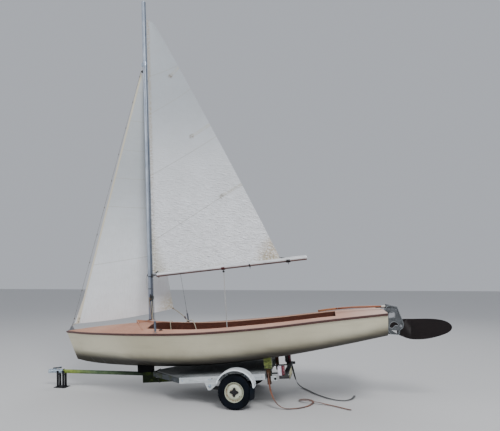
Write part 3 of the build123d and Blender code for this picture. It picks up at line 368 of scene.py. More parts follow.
galvanised = pitted("galvanised head", tone(118, 134, 150), tone(186, 200, 212), 0.38, 0.7)
black_paint = painted("black paint", tone(8, 8, 10), tone(22, 23, 26), tone(46, 28, 20), tone(40, 36, 32),
                      0.66, Specular_IOR_Level=0.25)
dressed(galvanised, "coupling")
dressed(black_paint, "nose_legs", "suspension")


trim = math.radians(4.811)


def drawn(x, y, z):
    """The place, as the boat parks bow down, of a point that is given from the floor under the axle
    on a level boat, X forward."""
    height = z - axle.z
    return Vector((axle.x + x * math.cos(trim) + height * math.sin(trim), y,
                   axle.z - x * math.sin(trim) + height * math.cos(trim)))


def heading(x, y, z):
    """A direction on the level boat, as the boat parks."""
    return drawn(x, y, z) - drawn(0, 0, 0)


def chosen(piece):
    """Makes a piece the only one selected, and active."""
    bpy.ops.object.select_all(action="DESELECT")
    piece.select_set(True)
    bpy.context.view_layer.objects.active = piece


def modified(piece, kind, **settings):
    """Adds a modifier to a piece and applies it."""
    chosen(piece)
    modifier = piece.modifiers.new(kind.title(), kind)
    for name, value in settings.items():
        setattr(modifier, name, value)
    bpy.ops.object.modifier_apply(modifier=modifier.name)


def rod_between(start, end, radius, sides=20, end_radius=None):
    """A round bar from start to end, tapered when its end has another radius."""
    start, end = Vector(start), Vector(end)
    turn = (end - start).to_track_quat("Z", "Y").to_euler()
    end_radius = radius if end_radius is None else end_radius
    bpy.ops.mesh.primitive_cone_add(vertices=sides, radius1=radius, radius2=end_radius, rotation=turn,
                                    depth=(end - start).length, location=(start + end) / 2)
    return bpy.context.object


def rounded_block(centre, size, edge, turn=(0, trim, 0)):
    """A block with its edges rounded over, level with the boat unless it has another turn."""
    bpy.ops.mesh.primitive_cube_add(size=1, location=centre, rotation=turn, scale=size)
    piece = bpy.context.object
    chosen(piece)
    bpy.ops.object.transform_apply(location=False, rotation=False, scale=True)
    modified(piece, "BEVEL", width=edge, segments=3)
    return piece


def crossbar(centre, half, radius, sides=20):
    """A round bar across the boat, through a centre."""
    return rod_between(centre - Vector((0, half, 0)), centre + Vector((0, half, 0)), radius, sides)


def eye_ring(centre, radius, thick, normal):
    """A ring of round wire about a normal."""
    turn = Vector(normal).to_track_quat("Z", "Y").to_euler()
    bpy.ops.mesh.primitive_torus_add(major_radius=radius, minor_radius=thick, major_segments=28,
                                     minor_segments=12, location=centre, rotation=turn)
    return bpy.context.object


def together(*pieces):
    """Several meshes as one piece."""
    chosen(pieces[0])
    for piece in pieces:
        piece.select_set(True)
    if len(pieces) > 1:
        bpy.ops.object.join()
    return bpy.context.object


def finished(piece, name, body, material, angle=35):
    """Names a piece, or the parts of one, smooths it, and lets it ride on a body, if any."""
    piece = together(*piece) if isinstance(piece, list) else piece
    chosen(piece)
    bpy.ops.object.transform_apply(location=True, rotation=True, scale=True)
    bpy.ops.object.shade_smooth_by_angle(angle=math.radians(angle))
    piece.name = name
    piece.data.materials.clear()
    piece.data.materials.append(material)
    if body:
        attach(piece, body)
    return piece


def bolt(centre, normal, radius, height):
    """A hexagon head or nut with a chamfered top, on its washer."""
    normal = Vector(normal).normalized()
    washer = rod_between(centre, centre + normal * height * 0.25, radius * 1.5, 28)
    head = rod_between(centre + normal * height * 0.2, centre + normal * height, radius, 6)
    modified(head, "BEVEL", width=radius * 0.14, segments=2)
    end = rod_between(centre + normal * height * 0.9, centre + normal * height * 1.35, radius * 0.5, 16)
    return [washer, head, end]


bar_end = drawn(3.065, 0, 0.504)
bar_run = (bar_end - drawn(1.490, 0, 0.386)).normalized()
bar_up = Vector((-bar_run.z, 0, bar_run.x))
bar_tilt = -math.atan2(bar_run.z, bar_run.x)
bits = []
for along in (-0.052, -0.018):
    for side in (1, -1):
        bits += bolt(bar_end + bar_run * along + Vector((0, 0.0338 * side, 0)), (0, side, 0), 0.0085, 0.009)
finished(bits, "coupling_bolts", "root", galvanised)
lever_at = bar_end + bar_run * 0.050 + bar_up * 0.050
lever = rounded_block(lever_at, (0.146, 0.030, 0.016), 0.005, (0, bar_tilt + math.radians(5), 0))
grip_at = bar_end + bar_run * 0.094 + bar_up * 0.036
grip = rounded_block(grip_at, (0.044, 0.024, 0.034), 0.006, (0, bar_tilt, 0))
ring = eye_ring(bar_end - bar_run * 0.066, 0.0345, 0.0045, bar_run)
finished([lever, grip, ring], "coupling_lever", "root", black_paint)

# The frame's ends and bolts: a white plate with a ringed hole for a lashing closes each end of the
# rails. Galvanised bolts hold the frame's corners and green ones the keel post, whose front is rusty.
rail_out, rail_high = 0.620, 0.389
ends = []
for side in (1, -1):
    for x in (-0.4185, 0.8005):
        end = drawn(x, rail_out * side, rail_high)
        ends.append(rounded_block(end, (0.003, 0.034, 0.070), 0.001))
        ends.append(eye_ring(end, 0.009, 0.0025, heading(1, 0, 0)))
finished(ends, "rail_ends", "root", rail_white)
bolts = []
for side in (1, -1):
    for x in (-0.380, 0.345, 0.375, 0.755):
        bolts += bolt(drawn(x, 0.6402 * side, rail_high), (0, side, 0), 0.0075, 0.007)
    bolts += bolt(drawn(0.3615, 0.6402 * side, 0.303), (0, side, 0), 0.015, 0.014)
finished(bolts, "frame_bolts", "root", galvanised)
post_bolts = []
for side in (1, -1):
    for x in (1.542, 1.598):
        post_bolts += bolt(drawn(x, 0.0372 * side, 0.352), (0, side, 0), 0.009, 0.008)
finished(post_bolts, "post_bolts", "root", frame_green)
rust_edge = rounded_block(drawn(1.6158, 0, 0.372), (0.0025, 0.070, 0.095), 0.001)
finished(rust_edge, "post_rust_edge", "root", rust_post)

# The keel block: a block of black rubber, cut to the keel and split with age. It stands on the keel
# post, which two green gussets brace.
finish = Finish("old black rubber", Specular_IOR_Level=0.12)
place = finish.place
bloom = place.clouds(6.0, 6.0, 0.6)
cracks = place.cells(34.0)
color = (bloom * 0.7 + cracks * 0.3).rises(0.3, 0.7).blend(tone(3, 4, 6), tone(13, 14, 18))
old_rubber = finish.made(color, 0.72 + bloom * 0.15, bloom * 0.3 + cracks.rises(0.02, 0.2), 0.0012)
dressed(old_rubber, "keel_block")
gussets = [rounded_block(drawn(1.4700, 0.034 * side, 0.3700), (0.108, 0.006, 0.104), 0.001)
           for side in (1, -1)]
finished(gussets, "post_gussets", "root", frame_green)


# The mudguards: pressed sheet steel, painted white, with a rolled edge on the outside. Each is bolted
# to the rail by its lugs, and its crown is a little flatter than its ends.
SIDES = ((1, "port"), (-1, "starboard"))
guard_fore, guard_high = -0.022, 0.300
# how much of its height above the crown's start each part of a guard is lower by
crown_drop = 0.16


def copied(node, name):
    """A new piece with a copy of a node's mesh."""
    piece = bpy.data.objects.new(name, frame["nodes"][node].data.copy())
    bpy.context.collection.objects.link(piece)
    return piece


def merged(piece, gap):
    """Joins a mesh's doubled corners and turns its faces outwards."""
    chosen(piece)
    bpy.ops.object.mode_set(mode="EDIT")
    bpy.ops.mesh.select_all(action="SELECT")
    bpy.ops.mesh.remove_doubles(threshold=gap)
    bpy.ops.mesh.normals_make_consistent(inside=False)
    bpy.ops.object.mode_set(mode="OBJECT")


def thickened(line, radius, rings=4, steps=8):
    """A line with the thickness of a round bar or a rope, its ends closed."""
    line.data.bevel_depth = radius
    line.data.bevel_resolution = rings
    line.data.resolution_u = steps
    line.data.use_fill_caps = True
    return line


def meshed(line):
    """The mesh of a line."""
    chosen(line)
    bpy.ops.object.convert(target="MESH")
    return bpy.context.object


def arced(name, centre, radius, low, high, y, thick):
    """A guard's bead, bent about an axis across the trailer from one angle to another."""
    points = []
    for step in range(25):
        angle = math.radians(low + (high - low) * step / 24)
        up = centre[1] + radius * math.sin(angle)
        points.append(drawn(centre[0] + radius * math.cos(angle), y, up - max(0.0, up - 0.36) * crown_drop))
    bead = meshed(thickened(smooth_line(name, points), thick, 3, 3))
    return finished(bead, name, "root", guard_white, 60)


guard_white = painted("mudguard paint", tone(212, 221, 226), tone(238, 243, 246), tone(96, 90, 84),
                      tone(170, 166, 160), 0.69, 0.34)
guards = copied("mudguards", "mudguard_sheets")
merged(guards, 0.00005)
level = heading(0, 0, 1)
for vertex in guards.data.vertices:
    up = (vertex.co - axle).dot(level)
    vertex.co -= level * max(0.0, up - 0.13) * crown_drop
finished(guards, "mudguard_sheets", "root", guard_white, 40)
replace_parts(guards, "mudguards")
for side, tail in SIDES:
    arced("guard_bead_" + tail, (guard_fore, guard_high), 0.2485, 16.5, 182, 0.7965 * side, 0.0045)
bits = []
bolt_reach = 0.266
for side in (1, -1):
    for angle in (math.radians(24), math.radians(176)):
        for y in (0.700, 0.760):
            ahead, over = math.cos(angle), math.sin(angle)
            at = drawn(guard_fore + bolt_reach * ahead, y * side, guard_high + bolt_reach * over)
            bits += bolt(at, heading(ahead, 0, over), 0.0065, 0.006)
    for x in (-0.152, 0.108):
        bits += bolt(drawn(x, 0.6435 * side, 0.405), (0, side, 0), 0.0065, 0.006)
finished(bits, "guard_bolts", "root", galvanised)

# The mudflaps: sheets of dark rubber, clamped under the rear ends of the mudguards, their lower edges
# curled a little.
finish = Finish("flap rubber", Specular_IOR_Level=0.15)
place = finish.place
bloom = place.clouds(9.0, 6.0, 0.6)
mud = (place.axis("Z") + bloom * 0.08).falls(0.14, 0.30) * place.clouds(30.0, 5.0, 0.7).rises(0.35, 0.65)
color = bloom.rises(0.3, 0.7).blend(tone(7, 12, 20), tone(20, 30, 42))
flap_rubber = finish.made((mud * 0.6).blend(color, tone(44, 42, 40)), 0.7 + bloom * 0.2, bloom, 0.001)
for side, tail in SIDES:
    bpy.ops.mesh.primitive_grid_add(x_subdivisions=16, y_subdivisions=20, size=1)
    flap = bpy.context.object
    for vertex in flap.data.vertices:
        over, down = vertex.co.x, 0.5 - vertex.co.y
        wave = 0.006 * math.sin(down * 3.0) * (1 + 0.5 * math.sin(over * 5 + side))
        lean = 0.0265 * down + 0.040 * (over + 0.5) ** 2 + wave
        vertex.co = drawn(-0.2813 + lean, (0.720 + over * 0.129) * side, 0.304 - down * 0.178)
    modified(flap, "SOLIDIFY", thickness=0.005, offset=0.0)
    finished(flap, "flap_" + tail, "root", flap_rubber, 40)
    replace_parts(flap, "mudflaps")
clamps = []
for side in (1, -1):
    clamp_at = drawn(-0.2765, 0.720 * side, 0.288)
    clamps.append(rounded_block(clamp_at, (0.003, 0.126, 0.022), 0.001))
    for y in (0.672, 0.720, 0.768):
        clamps += bolt(drawn(-0.2750, y * side, 0.288), heading(1, 0, 0), 0.006, 0.005)
finished(clamps, "flap_clamps", "root", guard_white)


# The tyres: black rubber with three grooves round the tread, blocks cut across its shoulders, and a
# raised ring on each side wall.
def sheet_of(columns, rows, shape):
    """A sheet over a grid: each point, given from 0 to 1 across and up it, is put where shape says."""
    bpy.ops.mesh.primitive_grid_add(x_subdivisions=columns, y_subdivisions=rows, size=1)
    for vertex in bpy.context.object.data.vertices:
        vertex.co = shape(vertex.co.x + 0.5, vertex.co.y + 0.5)
    return bpy.context.object


def spun(centre, points, steps, ripple=None):
    """A ring: an outline of radius and side in millimetres, turned about an axle across the trailer."""
    def turned(along, row):
        step = round(along * steps)
        radius, side = points[round(row * (len(points) - 1))]
        if ripple:
            radius -= ripple(step, radius, side)
        angle = 2 * math.pi * step / steps
        return centre + Vector((radius * math.cos(angle), side, radius * math.sin(angle))) / 1000

    ring = sheet_of(steps, len(points) - 1, turned)
    merged(ring, 0.00002)
    return ring


def flat_distance(place, centre):
    """How far a place is from a centre in the boat's middle plane."""
    offset = place.node("VectorMath", {0: place, 1: tuple(centre)}, operation="SUBTRACT")
    flat = offset.node("VectorMath", {0: offset, 1: (1.0, 0.0, 1.0)}, operation="MULTIPLY")
    return flat.node("VectorMath", {0: flat}, output="Value", operation="LENGTH")


# radius and side in millimetres, from the bead round the shoulder to the middle of the tread
HALF_TYRE = [
    (131.3, 37.7), (132.0, 42.8), (136, 46.4), (143, 48.8), (152, 50.2), (160, 50.8), (164, 51.6),
    (168, 50.8), (176, 51.8), (188, 51.8), (199, 50.0), (207, 47.6), (213, 45.2), (217.5, 43.6),
    (221.5, 41.6), (223.5, 38.0), (226.5, 33.5), (227.6, 26.0), (222.4, 25.0), (222.4, 21.4),
    (228.6, 20.4), (229.4, 11.0), (223.6, 10.2), (223.6, 6.6), (229.8, 5.6), (230.0, 0.0),
]
tyre_points = HALF_TYRE + [(radius, -side) for radius, side in reversed(HALF_TYRE[:-1])] + [HALF_TYRE[0]]
finish = Finish("tyre rubber", Specular_IOR_Level=0.12)
place = finish.place
bloom = place.clouds(8.0, 6.0, 0.6)
fine = place.clouds(120.0, 4.0, 0.6)
from_axle = flat_distance(place, axle)
rings = from_axle.stripes(0.008, 0.0012, 0.001) * from_axle.falls(0.205, 0.21) * from_axle.rises(0.165, 0.17)
color = (bloom * 0.7 + fine * 0.3).rises(0.35, 0.65).blend(tone(4, 7, 12), tone(14, 20, 29))
color = (from_axle.rises(0.212, 0.222) * bloom.rises(0.3, 0.7) * 0.5).blend(color, tone(34, 35, 36))
tyre_rubber = finish.made(color, 0.72 + bloom * 0.15, fine * 0.3 + rings * 0.6, 0.0012)

# The rims: pressed steel dishes in greenish cream enamel, chipped round their edges and rusting where
# the disc meets the well. In each sits a dark hub with four lobes, a nut on each lobe and a dust cap.

# radius and side in millimetres: the dish with its raised middle and its outer flange
RIM = [
    (131, 38), (131, 20), (126, 12), (126, 5.6), (124, 5), (100, 6), (92, 10), (86, 18), (60, 20.6),
    (31, 20.6), (31, 24), (34, 25.6), (58, 26.3), (78, 26.3), (84, 25.4), (90, 22.0), (96, 16.4),
    (102, 12.6), (110, 11.4), (118, 11.8), (122, 14), (123.6, 20), (124, 38), (124.6, 41.6),
    (126.6, 43.0), (129, 43.0), (130.6, 41.4), (131, 38),
]
# the well and the inner flange
RIM_BACK = [(131, 38), (126, 37), (125.8, -37), (127, -40), (135, -42), (143, -41), (143, -38), (131, -38),
            (131, 38)]
finish = Finish("rim enamel", Coat_Weight=0.2, Coat_Roughness=0.2)
place = finish.place
from_axle = flat_distance(place, axle)
clouds = place.clouds(10.0, 6.0, 0.6)
chips = place.clouds(70.0, 6.0, 0.7)
color = clouds.rises(0.3, 0.7).blend(tone(176, 182, 160), tone(204, 208, 188))
groove = from_axle.rises(0.098, 0.108) * from_axle.falls(0.120, 0.128)
color = ((groove + clouds * 0.3 - 0.2) * 0.55).blend(color, tone(120, 118, 100))
rusted = (chips + groove * 0.12 + from_axle.falls(0.050, 0.075) * 0.10).rises(0.64, 0.68)
color = rusted.blend(color, chips.rises(0.6, 0.8).blend(tone(122, 72, 44), tone(66, 38, 26)))
rim_relief = (1 - rusted) * 0.6 + clouds * 0.2
rim_enamel = finish.made(color, 0.38 + clouds * 0.15 + rusted * 0.3, rim_relief, 0.0005)
hub_black = painted("hub paint", tone(6, 6, 9), tone(20, 20, 26), tone(40, 24, 18), tone(30, 28, 28), 0.62)


def domed(centre, normal, radius, height):
    """The low dome of a rivet or a round nut."""
    bpy.ops.mesh.primitive_uv_sphere_add(segments=14, ring_count=8, radius=1, location=centre,
                                         rotation=Vector(normal).to_track_quat("Z", "Y").to_euler(),
                                         scale=(radius, radius, height))
    return bpy.context.object


def tread_cut(step, radius, side):
    """How deep, in millimetres, the tyre is cut at every fourth step of its shoulders."""
    return 5.0 if step % 4 == 0 and radius > 219 and abs(side) > 24 else 0


track = joints["wheel_port_spin"]["pos_m"][1]
for side, tail in SIDES:
    body = "wheel_" + tail
    middle = Vector((axle.x, track * side, axle.z))
    tyre = spun(middle, tyre_points, 168, tread_cut)
    finished(tyre, "tyre_" + tail + "_rubber", body, tyre_rubber, 50)
    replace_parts(tyre, "tyre_" + tail)
    faces = spun(middle, [(radius, y * side) for radius, y in RIM], 96)
    back = spun(middle, [(radius, y * side) for radius, y in RIM_BACK], 96)
    valve_at = middle + Vector((-0.074, 0.012 * side, -0.052))
    rim = finished([faces, back], "rim_" + tail, body, rim_enamel, 40)
    spider_at = middle + Vector((0, 0.031 * side, 0))
    bpy.ops.mesh.primitive_cylinder_add(vertices=96, radius=1, depth=0.009, end_fill_type="TRIFAN",
                                        location=spider_at, rotation=(math.pi / 2, 0, 0))
    spider = bpy.context.object
    for vertex in spider.data.vertices:
        reach = math.hypot(vertex.co.x, vertex.co.y)
        if reach > 0.5:
            angle = math.atan2(vertex.co.y, vertex.co.x)
            lobed = 0.037 + 0.025 * abs(math.cos(2 * angle)) ** 3
            vertex.co.x, vertex.co.y = lobed * math.cos(angle), lobed * math.sin(angle)
    modified(spider, "BEVEL", width=0.0018, segments=2, limit_method="ANGLE")
    outward = Vector((0, side, 0))
    cap = rod_between(middle + outward * 0.030, middle + outward * 0.044, 0.0205, 40, 0.0185)
    modified(cap, "BEVEL", width=0.003, segments=3, limit_method="ANGLE")
    barrel = rod_between(middle - outward * 0.040, middle + outward * 0.0205, 0.039, 40)
    pieces = [spider, cap, barrel]
    for turn in range(4):
        angle = turn * math.pi / 2
        at = middle + Vector((0.048 * math.cos(angle), 0.0352 * side, 0.048 * math.sin(angle)))
        pieces += bolt(at, (0, side, 0), 0.0092, 0.009)
    pieces.append(rod_between(valve_at, valve_at + Vector((0.004, 0.026 * side, 0.003)), 0.0046, 16, 0.0036))
    pieces.append(domed(valve_at, (0, side, 0), 0.010, 0.003))
    hub = finished(pieces, "hub_" + tail, body, hub_black, 40)
    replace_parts(rim, "wheel_" + tail)
    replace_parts(hub, "wheel_" + tail)


# The nose band: a black cord, pulled tight over the nose of the trailer's deck and round the spine
# below it.
def roped(name, points, radius, material, body="root"):
    """A rope along points, as a mesh whose own map runs along it."""
    piece = meshed(thickened(smooth_line(name, points), radius))
    return finished(piece, name, body, material, 60)


def rope_finish(name, dark, light):
    """Three-strand rope: slanting furrows between its strands, and fraying along them."""
    finish = Finish(name, Sheen_Weight=0.3)
    place = finish.place
    lay = (place.axis("Z") + place.axis("X") * 0.8 + place.axis("Y") * 0.8).stripes(0.009, 0.002, 0.004)
    fray = place.clouds(150.0, 5.0, 0.7)
    soft = tuple(channel * 0.45 for channel in dark[:3]) + (1.0,)
    color = (lay * 0.5).blend(fray.rises(0.3, 0.7).blend(dark, light), soft)
    return finish.made(color, 0.85, (1 - lay) + fray * 0.3, 0.0015)


black_cord = rope_finish("black cord", tone(4, 4, 6), tone(16, 17, 20))
half_band = [(1.362, 0, 0.4420), (1.362, 0.060, 0.4420), (1.361, 0.0800, 0.4415), (1.361, 0.0830, 0.430),
             (1.358, 0.0825, 0.390), (1.354, 0.0810, 0.350), (1.348, 0.060, 0.300), (1.345, 0.0370, 0.262),
             (1.345, 0.0330, 0.2565), (1.345, 0, 0.2565)]
band = [drawn(*point) for point in half_band] + [drawn(x, -y, z) for x, y, z in reversed(half_band[:-1])]
roped("nose_band", band, 0.0055, black_cord)


# The rear of the trailer: a black moulded boot covers each arm's end on the lamp bar, and a white
# folded bracket is bolted to the port post.
def moulded(name, dark, light, rough=0.4):
    """Moulded plastic or paint with soft clouds, scuffs and a fine skin."""
    finish = Finish(name)
    clouds = finish.place.clouds(14.0, 6.0, 0.6)
    scuffs = finish.place.clouds(60.0, 4.0, 0.7)
    color = (clouds * 0.7 + scuffs * 0.3).rises(0.35, 0.65).blend(dark, light)
    return finish.made(color, rough + scuffs * 0.2, clouds * 0.4 + scuffs * 0.2, 0.0004)


dark_moulding = moulded("dark moulding", tone(22, 22, 24), tone(44, 44, 46))
boots = []
for side in (1, -1):
    boots.append(rounded_block(drawn(-0.668, 0.520 * side, 0.3490), (0.142, 0.043, 0.040), 0.008))
    nib_from, nib_to = drawn(-0.660, 0.499 * side, 0.350), drawn(-0.640, 0.470 * side, 0.350)
    boots.append(rod_between(nib_from, nib_to, 0.008, 16, 0.005))
finished(boots, "bar_boots", "root", dark_moulding)
bracket = rounded_block(drawn(-0.519, 0.520, 0.3370), (0.078, 0.006, 0.068), 0.0015)
fold = rounded_block(drawn(-0.556, 0.510, 0.3370), (0.004, 0.024, 0.068), 0.0015)
finished([bracket, fold], "post_bracket", "root", rail_white)
finished(bolt(drawn(-0.540, 0.523, 0.334), (0, 1, 0), 0.011, 0.009), "post_bracket_bolt", "root",
         black_paint)


# Each lamp has a moulded body, lilac-white on the port side and black, as painted shade, on the other,
# and a ribbed red lens over its rear, with an amber field at the top that shows from behind.
def ribbed_lens(name, axis, dark, light, groove):
    """Clear coloured plastic, moulded with fine prisms across an axis of the level boat."""
    finish = Finish(name, Transmission_Weight=0.25, IOR=1.49, Coat_Weight=0.6, Coat_Roughness=0.08)
    place = finish.place
    prisms = place.turned(0, math.degrees(trim), 0).axis(axis).stripes(0.006, 0.001, 0.003)
    clouds = place.clouds(20.0, 5.0, 0.6)
    color = clouds.rises(0.3, 0.7).blend(dark, light)
    return finish.made((prisms * 0.5).blend(color, groove), 0.12 + clouds * 0.12, prisms, 0.0012)


red_lens = ribbed_lens("lamp lens", "Z", tone(98, 18, 40), tone(150, 36, 62), tone(60, 10, 26))
amber_lens = ribbed_lens("amber lens", "Y", tone(176, 92, 20), tone(214, 128, 40), tone(120, 58, 14))
lamp_out, lamp_high = 0.495, 0.434
# side, name's end, slot, material of the body
LAMP_BODIES = [
    (1, "port", "white_paint", moulded("lamp body", tone(186, 180, 196), tone(222, 218, 228), 0.35)),
    # the starboard body's black is painted shade: that lamp lies in shadow under the hull
    (-1, "starboard", "black_steel", dark_moulding),
]
for side, tail, slot, cover in LAMP_BODIES:
    out = lamp_out * side
    shell = rounded_block(drawn(-0.609, out, lamp_high), (0.048, 0.082, 0.126), 0.010)
    skirt = rounded_block(drawn(-0.6345, out, lamp_high), (0.005, 0.084, 0.128), 0.002)
    gland = rod_between(drawn(-0.586, out, 0.400), drawn(-0.577, out, 0.397), 0.008, 16, 0.005)
    shell = finished([shell, skirt, gland], "lamp_body_" + tail, "root", cover, 40)
    lens = rounded_block(drawn(-0.6585, out, lamp_high), (0.042, 0.081, 0.125), 0.010)
    lens = finished(lens, "lamp_lens_" + tail, "root", red_lens, 40)
    field = rounded_block(drawn(-0.6795, out, 0.474), (0.003, 0.062, 0.030), 0.0012)
    finished(field, "lamp_amber_" + tail, "root", amber_lens)
    screws = []
    for up in (0.448, 0.386):
        screws.append(domed(drawn(-0.6797, out, up), heading(-1, 0, 0), 0.0042, 0.0016))
    finished(screws, "lamp_screws_" + tail, "root", galvanised)
    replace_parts(shell, "tail_lamps")
    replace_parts(lens, "tail_lamps")

# The number plate: yellow sheet metal, scratched and dirty, with no number. Two screws hold it in a
# black rim on the lamp bar.
finish = Finish("plate sheet", Coat_Weight=0.3, Coat_Roughness=0.2)
clouds = finish.place.clouds(9.0, 5.0, 0.6)
dirt = finish.place.clouds(50.0, 6.0, 0.7).rises(0.56, 0.72)
color = clouds.rises(0.3, 0.7).blend(tone(206, 196, 112), tone(226, 218, 146))
color = (dirt * 0.4).blend(color, tone(120, 112, 88))
plate_sheet = finish.made(color, 0.4 + dirt * 0.3, 1 - dirt * 0.4, 0.0003)
dressed(plate_sheet, "number_plate")
rim = []
for up in (0.2515, 0.3585):
    rim.append(rounded_block(drawn(-0.7062, 0, up), (0.004, 0.424, 0.007), 0.0012))
for y in (0.2095, -0.2095):
    rim.append(rounded_block(drawn(-0.7062, y, 0.305), (0.004, 0.007, 0.112), 0.0012))
finished(rim, "plate_rim", "root", black_paint)
screws = [domed(drawn(-0.7078, y, 0.342), heading(-1, 0, 0), 0.0048, 0.0018) for y in (-0.150, 0.150)]
finished(screws, "plate_screws", "root", galvanised)

# The pads on the rear posts: foam wrapped in yellow-green cloth that is tied at the foot. Each is
# simulated as cloth, blown up a little by its filling, so that it wrinkles between post and hull.
finish = Finish("pad cloth", Sheen_Weight=0.4)
place = finish.place
weave = place.turned(0, 45, 0).cells(420.0)
folds = place.stretched(1.0, 1.0, 2.2).clouds(16.0, 5.0, 0.65)
broad = place.clouds(7.0, 5.0, 0.6)
color = (folds * 0.6 + broad * 0.4).rises(0.34, 0.64).blend(tone(44, 54, 20), tone(136, 148, 72))
color = (broad.rises(0.55, 0.7) * 0.5).blend(color, tone(172, 178, 124))
color = (place.clouds(40.0, 5.0, 0.7).rises(0.6, 0.7) * 0.5).blend(color, tone(28, 32, 16))
pad_cloth = finish.made(color, 0.9, folds + weave * 0.15, 0.006)
# how far the cloth may puff out, and how far below the pad's middle and how tightly it is tied
puff, tie_below, tie_half, tie_depth = 0.009, 0.052, 0.012, 0.010
for side, tail in SIDES:
    pad = copied("bilge_pads", "pad_" + tail + "_cloth")
    chosen(pad)
    bpy.ops.object.mode_set(mode="EDIT")
    bpy.ops.mesh.select_all(action="SELECT")
    bpy.ops.mesh.remove_doubles(threshold=0.00005)
    bpy.ops.mesh.bisect(plane_co=(0, 0, 0), plane_no=(0, side, 0), clear_inner=True)
    bpy.ops.object.mode_set(mode="OBJECT")
    middle = sum((vertex.co for vertex in pad.data.vertices), Vector()) / len(pad.data.vertices)
    for vertex in pad.data.vertices:
        offset = vertex.co - middle
        vertex.co = middle + Vector((offset.x * 0.90, offset.y * 0.88, offset.z * 0.95))
    modified(pad, "REMESH", mode="VOXEL", voxel_size=0.005)
    start = [vertex.co.copy() for vertex in pad.data.vertices]
    cloth = pad.modifiers.new("Cloth", "CLOTH")
    cloth.settings.use_pressure = True
    cloth.settings.uniform_pressure_force = 4
    cloth.settings.shrink_min = -0.16
    cloth.settings.effector_weights.gravity = 0
    for step in range(1, 21):
        bpy.context.scene.frame_set(step)
    chosen(pad)
    bpy.ops.object.modifier_apply(modifier=cloth.name)
    for vertex, before in zip(pad.data.vertices, start):
        moved = vertex.co - before
        vertex.co = before + moved * min(1.0, puff / max(moved.length, 0.0001))
        tied = max(0.0, 1 - abs(before.z - middle.z + tie_below) / tie_half)
        inward = Vector((middle.x - before.x, middle.y - before.y, 0))
        vertex.co += inward.normalized() * tie_depth * tied
    modified(pad, "SUBSURF", render_levels=1)
    pad = finished(pad, pad.name, "root", pad_cloth, 70)
    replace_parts(pad, "bilge_pads")


# The hull: a hard-chined shell of plywood and its transom, painted cream. The paint is old and
# rubbed along the chine; dirt and painted shade darken it towards the keel. It covers one smooth skin.
finish = Finish("aged cream paint", Coat_Weight=0.1, Coat_Roughness=0.35)
place = finish.place
broad = place.clouds(1.1, 5.0)
streaks = place.stretched(0.7, 1.0, 6.0).clouds(2.2, 6.0, 0.6)
specks = place.clouds(60.0, 3.0)
# height above the keel, which rises towards the stern
abaft = place.axis("X") - 0.7
waterline = place.axis("Z") + place.axis("X") * 0.084 - abaft * abaft * 0.024
color = broad.rises(0.3, 0.7).blend(tone(196, 189, 162), tone(212, 206, 181))
color = (streaks.rises(0.52, 0.75) * 0.35).blend(color, tone(174, 166, 140))
# painted shade with brown dirt: the paint darkens towards the keel, and most just above it
low = (waterline + broad * 0.12).falls(0.63, 0.88)
color = (low * 0.95).blend(color, tone(80, 75, 60))
lowest = (waterline + streaks * 0.10).falls(0.64, 0.80)
color = (lowest * 0.95).blend(color, tone(38, 33, 25))
color = (specks.rises(0.66, 0.74) * 0.35).blend(color, tone(120, 112, 96))
hull_relief = place.clouds(3.0, 2.0) * 0.8 + specks * 0.03
hull_paint = finish.made(color, 0.36 + broad * 0.18 + low * 0.18, hull_relief, 0.006)


def smoothed(node, body, material, angle=30):
    """A merged copy of a node's mesh, smooth across its flatter edges, that stands for the node."""
    piece = copied(node, node + "_skin")
    shell = bmesh.new()
    shell.from_mesh(piece.data)
    bmesh.ops.remove_doubles(shell, verts=shell.verts, dist=0.00002)
    shell.to_mesh(piece.data)
    shell.free()
    finished(piece, node + "_skin", body, material, angle)
    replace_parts(piece, node)
    return piece


smoothed("hull_shell", "root", hull_paint)
dressed(hull_paint, "transom")


# The rubbing strakes: a hardwood moulding bent along each side under the deck's edge and screwed to
# it. Its varnish has gone dark, and is worn to the wood in places.
def grained(name, dark, light, pale, rough=0.5, wear=0.62, along=(1.0, 14.0, 14.0), **fixed):
    """Wood whose grain runs along X, its varnish or paint worn where the clouds rise above wear."""
    finish = Finish(name, **fixed)
    place = finish.place
    grain = place.stretched(*along).clouds(9.0, 8.0, 0.65)
    fibre = place.stretched(along[0] * 2, along[1] * 4, along[2] * 4).clouds(22.0, 4.0)
    patches = place.clouds(5.0, 6.0, 0.6)
    color = (grain * 0.7 + fibre * 0.3).rises(0.35, 0.68).blend(dark, light)
    color = (patches.rises(wear, wear + 0.12) * 0.7).blend(color, pale)
    return finish.made(color, rough + patches * 0.2, grain * 0.6 + fibre * 0.4, 0.0012)


strake_varnish = grained("strake varnish", tone(58, 30, 27), tone(104, 60, 52), tone(150, 104, 90), 0.42, 0.6,
                         Coat_Weight=0.15, Coat_Roughness=0.3)
smoothed("rubbing_strakes", "root", strake_varnish)

# The decks and the splash board: plywood sheets in a pinkish brown paint that the sun has faded,
# whitest at the stern, and with grain showing through.
finish = Finish("faded deck paint")
place = finish.place
grain = place.stretched(1.0, 16.0, 16.0).clouds(7.0, 8.0, 0.62)
broad = place.clouds(1.6, 5.0, 0.6)
blots = place.clouds(14.0, 6.0, 0.65)
color = broad.rises(0.32, 0.68).blend(tone(180, 130, 106), tone(196, 150, 126))
color = (grain.rises(0.5, 0.72) * 0.35).blend(color, tone(158, 108, 90))
color = (blots.rises(0.58, 0.7) * 0.5).blend(color, tone(202, 174, 152))
color = ((place.axis("X") + broad * 0.5).falls(-2.0, -1.2) * 0.7).blend(color, tone(214, 188, 174))
deck_paint = finish.made(color, 0.55 + blots * 0.2, grain * 0.7 + blots * 0.3, 0.0012)
for node in ("foredeck", "side_decks", "aft_deck"):
    smoothed(node, "root", deck_paint)
dressed(deck_paint, "splash_board")

